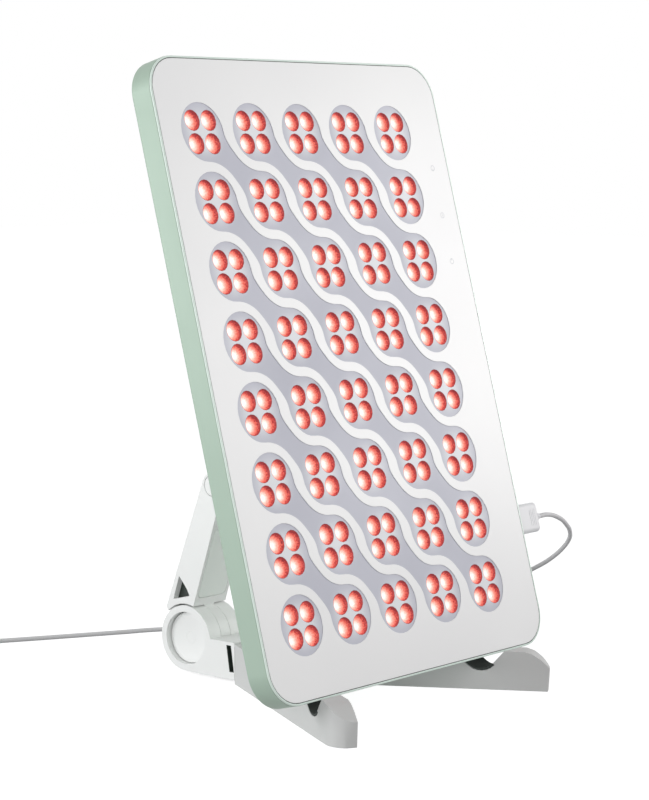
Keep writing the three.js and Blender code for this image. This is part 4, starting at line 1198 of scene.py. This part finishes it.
@dataclass
class PanelShell:
    """Mint frame with its lip, a lighter copy of the mint as painted highlight, a dark ring as painted
    shadow in the gap, rear cover, screws and bracket.
    """

    width: float = 0.2413
    height: float = 0.348
    depth: float = 0.015
    corner: float = 0.02
    tilt: float = math.radians(15)
    wall: float = 0.002
    back_round: float = 0.0015
    front_round: float = 0.0001
    lip_inset: float = 0.0001
    lip_wall: float = 0.00105
    lip_depth: float = 0.0008
    lip_gap: float = 0.00022
    lip_round: float = 0.00035
    # Size of the dark ring that paints the shadow of the gap behind the lip
    shadow_ring_gap: float = 0.00015
    shadow_ring_wall: float = 0.0003
    shadow_ring_sink: float = 0.00018
    seat_gap: float = 0.0003
    cover_thickness: float = 0.0018
    cover_round: float = 0.00015
    screw: SocketScrew = SocketScrew()
    screw_inset: float = 0.0096
    head_gap: float = 0.00012
    bracket_round: float = 0.0008
    plate_thickness: float = 0.0012
    plate_shown: float = 0.0003
    mouth_gap: float = 0.0002

    def place(self) -> Matrix:
        """Return the panel's own frame: X right, Y up the face, Z out of the face."""
        low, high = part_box("face_plate")
        turned = Matrix.Rotation(math.pi / 2 - self.tilt, 4, "X")
        front = turned.to_3x3() @ Vector((0, 0, self.plate_thickness / 2))
        return Matrix.Translation((low + high) / 2 + front) @ turned

    @staticmethod
    def outer_edge(z: float) -> Callable[[BMEdge], bool]:
        """Return a test for edges of a ring's outer wall at a height.

        Args:
            z: the height.

        Returns:
            The test, for soften.
        """

        def wanted(edge: BMEdge) -> bool:
            """Say whether an edge bounds the outer wall there.

            Args:
                edge: the edge.

            Returns:
                True where it does.
            """
            outward = any(
                abs(face.normal.z) < 0.5 and face.calc_center_median().dot(face.normal) > 0
                for face in edge.link_faces
            )
            return outward and all(abs(vertex.co.z - z) < NEAR for vertex in edge.verts)

        return wanted

    def ring(self, inset: float, wall: float, depths: tuple[float, float]) -> BMesh:
        """Return a ring that follows the panel's outline.

        Args:
            inset: distance in from the outline.
            wall: thickness of the ring.
            depths: its back and its front.

        Returns:
            The ring, in the panel's frame.
        """
        bm = bmesh.new()
        size = (self.width - 2 * inset, self.height - 2 * inset)
        rounded_ring(bm, size, self.corner - inset, wall, depths)
        return bm

    def frame_rings(self) -> None:
        """Make the frame's body, the lip in front of it with a painted highlight, and in the lip a dark
        ring that paints the shadow of the gap.
        """
        back, front = -self.depth, -self.lip_depth - self.lip_gap
        body = self.ring(0.0, self.wall, (back, front))
        soften(body, self.back_round, 5, self.outer_edge(back))
        soften(body, self.front_round, 1, self.outer_edge(front))
        self.plug_mouth(body)
        add_piece("mint_frame", body, MINT, "panel", ["panel_frame"], place=self.place())
        # Lip with a painted highlight: a lighter copy of the frame's mint.
        lip = self.ring(self.lip_inset, self.lip_wall, (-self.lip_depth, 0.0))
        soften(lip, self.lip_round, 3, self.outer_edge(0.0))
        add_piece("front_lip", lip, LIP_PAINTED_HIGHLIGHT, "panel", place=self.place())
        # Dark ring in the lip: painted shadow of the gap between the lip and the face.
        span = (-self.lip_depth, -self.shadow_ring_sink)
        shadow_ring = self.ring(self.lip_wall + self.shadow_ring_gap, self.shadow_ring_wall, span)
        add_piece("face_seal", shadow_ring, DARK_AND_PAINTED_SHADE, "panel", place=self.place())

    def plug_mouth(self, bm: BMesh) -> None:
        """Open the right wall of the frame round the plug.

        Args:
            bm: the frame's mesh, in the panel's frame.
        """
        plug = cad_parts["power_plug"].data
        inward = self.place().inverted()
        points = [inward @ vertex.co for vertex in plug.vertices]
        gap = Vector((0, self.mouth_gap, self.mouth_gap))
        low = Vector(min(point[i] for point in points) for i in range(3)) - gap
        high = Vector(max(point[i] for point in points) for i in range(3)) + gap
        inner = self.width / 2 - self.wall - NEAR

        def in_wall(face: BMFace) -> bool:
            """Say whether a face lies in the right wall."""
            return abs(face.normal.x) > 0.99 and face.calc_center_median().x > inner

        for corner in (low, high):
            for axis in (Vector((0, 1, 0)), Vector((0, 0, 1))):
                walls = [face for face in bm.faces if in_wall(face)]
                parts = walls + list({edge for face in walls for edge in face.edges})
                parts += list({vertex for face in walls for vertex in face.verts})
                bmesh.ops.bisect_plane(bm, geom=parts, dist=MERGE, plane_co=corner, plane_no=axis)
        inside = [
            face for face in bm.faces
            if in_wall(face)
            and low.y < face.calc_center_median().y < high.y
            and low.z < face.calc_center_median().z < high.z
        ]
        edges = list({edge for face in inside for edge in face.edges})
        bmesh.ops.delete(bm, geom=inside, context="FACES_ONLY")
        bmesh.ops.bridge_loops(bm, edges=edges)
        bmesh.ops.recalc_face_normals(bm, faces=bm.faces)

    def rear_cover(self) -> None:
        """Make the rear cover with its screw holes."""
        inset = self.wall + self.seat_gap
        width, height = self.width - 2 * inset, self.height - 2 * inset
        hole = self.screw.head + self.head_gap
        outlines = [rounded_outline(width, height, self.corner - inset)]
        outlines += [round_outline(place, hole) for place in self.screws()]
        span = (-self.depth, self.cover_thickness - self.depth)
        mesh = flat_plate("rear_skin", outlines, span, self.cover_round)
        add_piece("rear_skin", mesh, BACK, "panel", ["rear_cover"], crease=12, place=self.place())

    def screws(self) -> list[Vector]:
        """Return the places of the rear screws in the panel's frame."""
        x, y = self.width / 2 - self.screw_inset, self.height / 2 - self.screw_inset
        return [Vector((sx * x, sy * y)) for sx in (-1, 1) for sy in (-1, 1)]

    def screw_heads(self) -> None:
        """Make the rear screws with hexagon sockets."""
        for i, spot in enumerate(self.screws(), 1):
            place = self.place() @ Matrix.Translation((spot.x, spot.y, -self.depth))
            add_piece(
                f"rear_screw_head_{i}", self.screw.mesh(), METAL, "panel", [f"rear_screw_{i}"],
                place=place,
            )

    def build(self) -> None:
        """Make the whole shell."""
        self.frame_rings()
        self.rear_cover()
        self.screw_heads()
        add_rounded("bracket_moulding", "panel_bracket", WHITE, "panel", self.bracket_round)
        dress(METAL, "bracket_screw_1", "bracket_screw_2", "panel_hinge_pin")


@dataclass
class LightFace:
    """Face plate with diagonal channels, tray, lenses and touch marks."""

    shell: PanelShell
    columns: int = 5
    rows: int = 8
    column_pitch: float = 0.04033
    row_pitch: float = 0.038
    grid_left: float = 0.03329
    grid_top: float = 0.0417
    window: float = 0.0163
    leave_share: float = 0.12
    arrive_share: float = 0.16
    join_angle: float = math.radians(37.9)
    lens_radius: float = 0.0057
    lens_rim: float = -0.0003
    lens_bottom: float = -0.0026
    lens_floor: float = 0.0001
    bowl_shares: tuple[float, ...] = (0.9, 0.66, 0.34)
    lens_sides: int = 16
    wall_map: float = 1.4
    # Painted highlight: the lens map's hot spot is moved to the lower left of each bowl.
    painted_hotspot_shift: tuple[float, float] = (-0.42, -0.08)
    hole_gap: float = 0.00012
    tray_front: float = -0.00033
    tray_back: float = -0.0027
    tray_right: float = 0.092
    lens_pitch: float = 0.01277
    plate_inset: float = 0.00155
    plate_round: float = 0.0001
    mark_column: float = 0.105
    mark_rows: Place = (0.111, 0.0825, 0.0548)
    mark_radius: float = 0.0017
    mark_line: float = 0.0003
    mark_bar: float = 0.0011
    mark_step: float = 0.0009
    mark_rise: float = 0.00006

    def centre(self, column: int, row: int) -> Vector:
        """Return the middle of a window in the panel's frame.

        Args:
            column: its column, from the left.
            row: its row, from the top.

        Returns:
            The middle, in X and Y.
        """
        return Vector((
            self.grid_left - self.shell.width / 2 + column * self.column_pitch,
            self.shell.height / 2 - self.grid_top - row * self.row_pitch,
        ))

    def strips(self) -> list[tuple[int, int, int]]:
        """Return the column, row and length of each diagonal, as the CAD strips are numbered."""
        low = [(0, row, min(self.columns, self.rows - row)) for row in range(self.rows - 1, 0, -1)]
        high = [(column, 0, min(self.columns - column, self.rows)) for column in range(self.columns)]
        return low + high

    def channel(self, column: int, row: int, count: int) -> Outline:
        """Return the outline of one diagonal channel.

        Args:
            column: column of its upper left window.
            row: row of that window.
            count: number of its windows.

        Returns:
            The outline, in the panel's frame.
        """
        outer = self.row_pitch - self.window
        tangent = Vector((math.sin(self.join_angle), -math.cos(self.join_angle)))
        joint = Vector((-math.cos(self.join_angle), -math.sin(self.join_angle))) * outer
        first = self.centre(column, row)
        made = Outline(first - Vector((0, self.window)))

        def side(centre: Vector, sign: int) -> None:
            """Draw the side from a window to the next, down for +1 and up for -1.

            Args:
                centre: middle of the first window.
                sign: the way that the side runs.
            """
            neighbour = centre + Vector((sign * self.column_pitch, 0))
            end = neighbour + joint * sign
            start = made.knots[-1].place
            made.curve_to(
                start - Vector((0, sign * self.row_pitch * self.leave_share)),
                end - tangent * (sign * self.row_pitch * self.arrive_share),
                end,
            )
            base = math.pi if sign > 0 else 0.0
            made.arc(neighbour, outer, base + self.join_angle, QUARTER - self.join_angle)

        made.arc(first, self.window, 3 * QUARTER, -3 * QUARTER)
        for i in range(1, count):
            side(self.centre(column + i - 1, row + i - 1), 1)
            made.arc(self.centre(column + i, row + i), self.window, QUARTER, -QUARTER)
        for i in range(count - 1, 0, -1):
            centre = self.centre(column + i, row + i)
            if i == count - 1:
                made.arc(centre, self.window, 0.0, -2 * QUARTER)
            else:
                made.arc(centre, self.window, -QUARTER, -QUARTER)
            side(centre, -1)
        if count == 1:
            made.arc(first, self.window, 0.0, -QUARTER)
        return made

    def plate(self) -> None:
        """Make the face plate."""
        shell = self.shell
        inset = 2 * self.plate_inset
        width, height = shell.width - inset, shell.height - inset
        outline = rounded_outline(width, height, shell.corner - self.plate_inset)
        channels = [self.channel(*strip) for strip in self.strips()]
        span = (-shell.plate_shown, 0.0)
        mesh = flat_plate("channelled_face", [outline, *channels], span, self.plate_round)
        add_piece(
            "channelled_face", mesh, FACE, "panel", ["face_plate"], crease=12, place=shell.place()
        )

    def windows(self) -> list[Vector]:
        """Return the middles of all windows in the panel's frame."""
        return [
            self.centre(column + k, row + k)
            for column, row, count in self.strips()
            for k in range(count)
        ]

    def lens_places(self, middle: Vector) -> list[Vector]:
        """Return the middles of the four lenses of a window.

        Args:
            middle: middle of the window.

        Returns:
            The four middles.
        """
        half = self.lens_pitch / 2
        return [
            middle + Vector((sx * half, sy * half))
            for sx, sy in ((-1, -1), (1, -1), (1, 1), (-1, 1))
        ]

    def tray(self) -> None:
        """Make the tray, with a round hole for each lens."""
        shell = self.shell
        inset = shell.wall + shell.seat_gap
        left = inset - shell.width / 2
        width = self.tray_right - left
        shift = Vector((left + width / 2, 0))
        holes = [
            round_outline(place - shift, self.lens_radius + self.hole_gap)
            for middle in self.windows()
            for place in self.lens_places(middle)
        ]
        outline = rounded_outline(width, shell.height - 2 * inset, shell.corner - inset)
        mesh = flat_plate(
            "bored_tray", [outline, *holes], (self.tray_back, self.tray_front),
            self.hole_gap / 2, steps=self.lens_sides // 4, rounds=0,
        )
        first = self.centre(0, 0) - shift
        layer = mesh.uv_layers.new(name="windows")
        for loop in mesh.loops:
            away = mesh.vertices[loop.vertex_index].co.xy - first
            layer.uv[loop.index].vector = (
                away.x / self.column_pitch + 0.5, away.y / self.row_pitch + 0.5
            )
        place = shell.place() @ Matrix.Translation(shift.to_3d())
        add_piece("bored_tray", mesh, TRAY, "panel", ["led_tray"], crease=20, place=place)

    def lens(self) -> Mesh:
        """Return one reflector bowl about the Z axis, its rim just behind the face."""
        size, rim, bottom = self.lens_radius, self.lens_rim, self.lens_bottom
        depth = rim - bottom
        section = [(0.0, bottom - self.lens_floor), (size, bottom - self.lens_floor)]
        section.append((size, rim))
        section += [
            (size * reach, rim - depth * (1 - reach**2) ** 0.5) for reach in self.bowl_shares
        ]
        section.append((0.0, bottom))
        bm = bmesh.new()
        full_turn(bm, section, Z_AXIS, X_AXIS, self.lens_sides)
        layer = bm.loops.layers.uv.new("lens")
        for face in bm.faces:
            outside = face.calc_center_median().xy.dot(face.normal.xy) > 0.3 * size
            for loop in face.loops:
                # Shift the hot spot to the lower left: a painted highlight.
                spot = loop.vert.co.xy / size - Vector(self.painted_hotspot_shift)
                loop[layer].uv = spot * (self.wall_map if outside else 1.0)
        return finished_mesh("lens", bm)

    def lenses(self) -> None:
        """Make one piece of lenses for each channel, four to a window."""
        one = self.lens()
        for i, (column, row, count) in enumerate(self.strips(), 1):
            bm = bmesh.new()
            for k in range(count):
                for place in self.lens_places(self.centre(column + k, row + k)):
                    before = len(bm.verts)
                    bm.from_mesh(one)
                    bm.verts.ensure_lookup_table()
                    bmesh.ops.translate(bm, vec=place.to_3d(), verts=bm.verts[before:])
            add_piece(
                f"lenses_{i:02d}", bm, LENS, "panel", [f"lens_strip_{i:02d}"], crease=60,
                place=self.shell.place(),
            )

    def marks(self) -> None:
        """Make three plain touch marks, each a thin ring with a bar."""
        for i, height in enumerate(self.mark_rows):
            bm = bmesh.new()
            bmesh.ops.create_circle(bm, cap_ends=True, radius=self.mark_radius, segments=32)
            leave_ring(bm, self.mark_line)
            add_sheet(bm, (self.mark_line, self.mark_bar), (0.0, self.mark_step * (i - 1), 0.0))
            raise_faces(bm, bm.faces, Z_AXIS * self.mark_rise)
            bmesh.ops.recalc_face_normals(bm, faces=bm.faces)
            shift = Matrix.Translation((self.mark_column, height, -self.mark_rise / 2))
            place = self.shell.place() @ shift
            add_piece(f"touch_mark_{i + 1}", bm, MARK, "panel", place=place)

    def build(self) -> None:
        """Make the whole face."""
        self.plate()
        self.tray()
        self.lenses()
        self.marks()
        dress(BOARD, "led_board", "control_board", "touch_board")
        dress(METAL, "heat_spreader")
        dress(DARK_AND_PAINTED_SHADE, "power_socket")


# The stand


@dataclass
class FoldingArm:
    """Lower arm with its inlay and its pocket, whose dark core is painted shade, elbow caps and upper
    arm.
    """

    edge: float = 0.0007
    inlay_edge: float = 0.00025
    cap_edge: float = 0.0004

    def build(self) -> None:
        """Make the arms."""
        for arm in ("lower_arm", "upper_arm"):
            add_rounded(f"{arm}_moulding", arm, WHITE, arm, self.edge)
        add_rounded("inlay_plate", "arm_inlay", INLAY, "lower_arm", self.inlay_edge, segments=2)
        for side in SIDES:
            cap = f"elbow_cap_{side}"
            add_rounded(f"elbow_cap_disc_{side}", cap, WHITE, "lower_arm", self.cap_edge)
        # The core is dressed dark as painted shade in the arm's pocket.
        dress(DARK_AND_PAINTED_SHADE, "arm_core")
        dress(METAL, "elbow_pin")


@dataclass
class BarrelBase:
    """Base block with its barrel, dished release buttons, cover and pads."""

    edge: float = 0.0008
    pad_edge: float = 0.0006
    button_radius: float = 0.0151
    button_round: float = 0.0006
    button_chamfer: float = 0.0002
    button_sides: int = 72
    button_inner: float = 0.0087
    button_outer: float = 0.0105
    stem_radius: float = 0.0026
    stem_end: float = 0.0059
    dish: float = 0.0009
    dish_radius: float = 0.0126
    dish_lip: float = 0.0004
    dish_steps: int = 10
    ring_radius: float = 0.0036
    ring_half: float = 0.0003
    ring_rise: float = 0.00012
    ring_sink_share: float = 1.02
    half_width: float = 0.014
    slot_depth: float = 0.0042
    lining: float = 0.0003
    lining_gap: float = 0.00005
    slot_outline: tuple[tuple[float, float], ...] = (
        (0.04705, 0.00655),
        (0.05055, 0.00655),
        (0.05295, 0.02205),
        (0.04945, 0.02205),
    )

    def button_section(self) -> list[tuple[float, float]]:
        """Return the half section of a release button, from its stem to its dished face."""
        outer, inner, rim = self.button_outer, self.button_inner, self.button_radius
        section = [
            (0.0, self.stem_end),
            (self.stem_radius, self.stem_end),
            (self.stem_radius, inner),
            (rim, inner),
            (rim, outer - self.button_round),
            (rim - self.button_chamfer, outer - self.button_chamfer),
            (rim - self.button_round, outer),
            (self.dish_radius + self.dish_lip, outer),
        ]
        for i in range(self.dish_steps):
            reach = self.dish_radius * (1 - i / self.dish_steps)
            following = self.dish_radius * (1 - (i + 1) / self.dish_steps)
            depth = self.dish * (1 - (reach / self.dish_radius) ** 2)
            section.append((reach, outer - depth))
            if reach > self.ring_radius >= following:
                foot = outer - depth * self.ring_sink_share
                for shift, rise in (
                    (self.ring_half, 0.0),
                    (self.ring_half / 2, self.ring_rise),
                    (-self.ring_half / 2, self.ring_rise),
                    (-self.ring_half, 0.0),
                ):
                    section.append((self.ring_radius + shift, foot + rise))
        section.append((0.0, outer - self.dish))
        return section

    def buttons(self) -> None:
        """Make the two release buttons and dress their springs."""
        low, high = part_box("barrel_axle")
        middle = (low + high) / 2
        place = Matrix.Translation((0, middle.y, middle.z))
        for side, sign in SIDES.items():
            bm = bmesh.new()
            full_turn(bm, self.button_section(), X_AXIS * sign, Z_AXIS, self.button_sides)
            add_piece(
                f"dished_button_{side}", bm, WHITE, f"{side}_button", [f"release_button_{side}"],
                place=place,
            )
            dress(METAL, f"button_spring_{side}")

    def slot_shade_linings(self) -> None:
        """Make dark linings in the two latch slots, painted shade of the slots' hollows."""
        inner = self.half_width - self.slot_depth + self.lining_gap
        rise = self.slot_depth - 2 * self.lining_gap
        for side, sign in SIDES.items():
            bm = bmesh.new()
            corners = [bm.verts.new((sign * inner, y, z)) for y, z in self.slot_outline]
            top = raise_faces(bm, [bm.faces.new(corners)], X_AXIS * (sign * rise))
            inset_faces(bm, top, self.lining)
            raise_faces(bm, top, X_AXIS * (sign * (self.lining - rise)))
            bmesh.ops.delete(bm, geom=top, context="FACES_ONLY")
            bmesh.ops.recalc_face_normals(bm, faces=bm.faces)
            # Dark sheets on the slot walls: painted shade in the slot.
            add_piece(f"slot_lining_{side}", bm, DARK_AND_PAINTED_SHADE, "base", crease=30)

    def build(self) -> None:
        """Make the base."""
        add_rounded("base_moulding", "base_housing", WHITE, "base", self.edge)
        self.buttons()
        self.slot_shade_linings()
        dress(WHITE, "base_cover")
        dress(METAL, "barrel_axle")
        add_rounded("rear_pad_block", "rear_pad", RUBBER, "base", self.pad_edge)


@dataclass
class SplayedLegs:
    """Two legs with the notches that hold the panel's lower edge."""

    edge: float = 0.0008
    pad_edge: float = 0.0002

    def build(self) -> None:
        """Make the legs."""
        for side in SIDES:
            pad = f"notch_pad_{side}"
            # The legs take the darker white, painted shade.
            add_rounded(f"{side}_leg_moulding", f"{side}_leg", LEG_PAINTED_SHADE, "base", self.edge)
            add_rounded(f"notch_lining_{side}", pad, RUBBER, "base", self.pad_edge, segments=2)
            dress(RUBBER, f"foot_pad_{side}")
            dress(METAL, f"leg_screw_{side}")


def main() -> None:
    """Build the scene."""
    logging.basicConfig(level=logging.INFO, format="%(name)s: %(message)s")
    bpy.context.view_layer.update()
    studio = Studio()
    studio.camera()
    PowerLead().build()
    studio.build()
    shell = PanelShell()
    for assembly in (shell, LightFace(shell), FoldingArm(), BarrelBase(), SplayedLegs()):
        assembly.build()


if __name__ == "__main__":
    main()
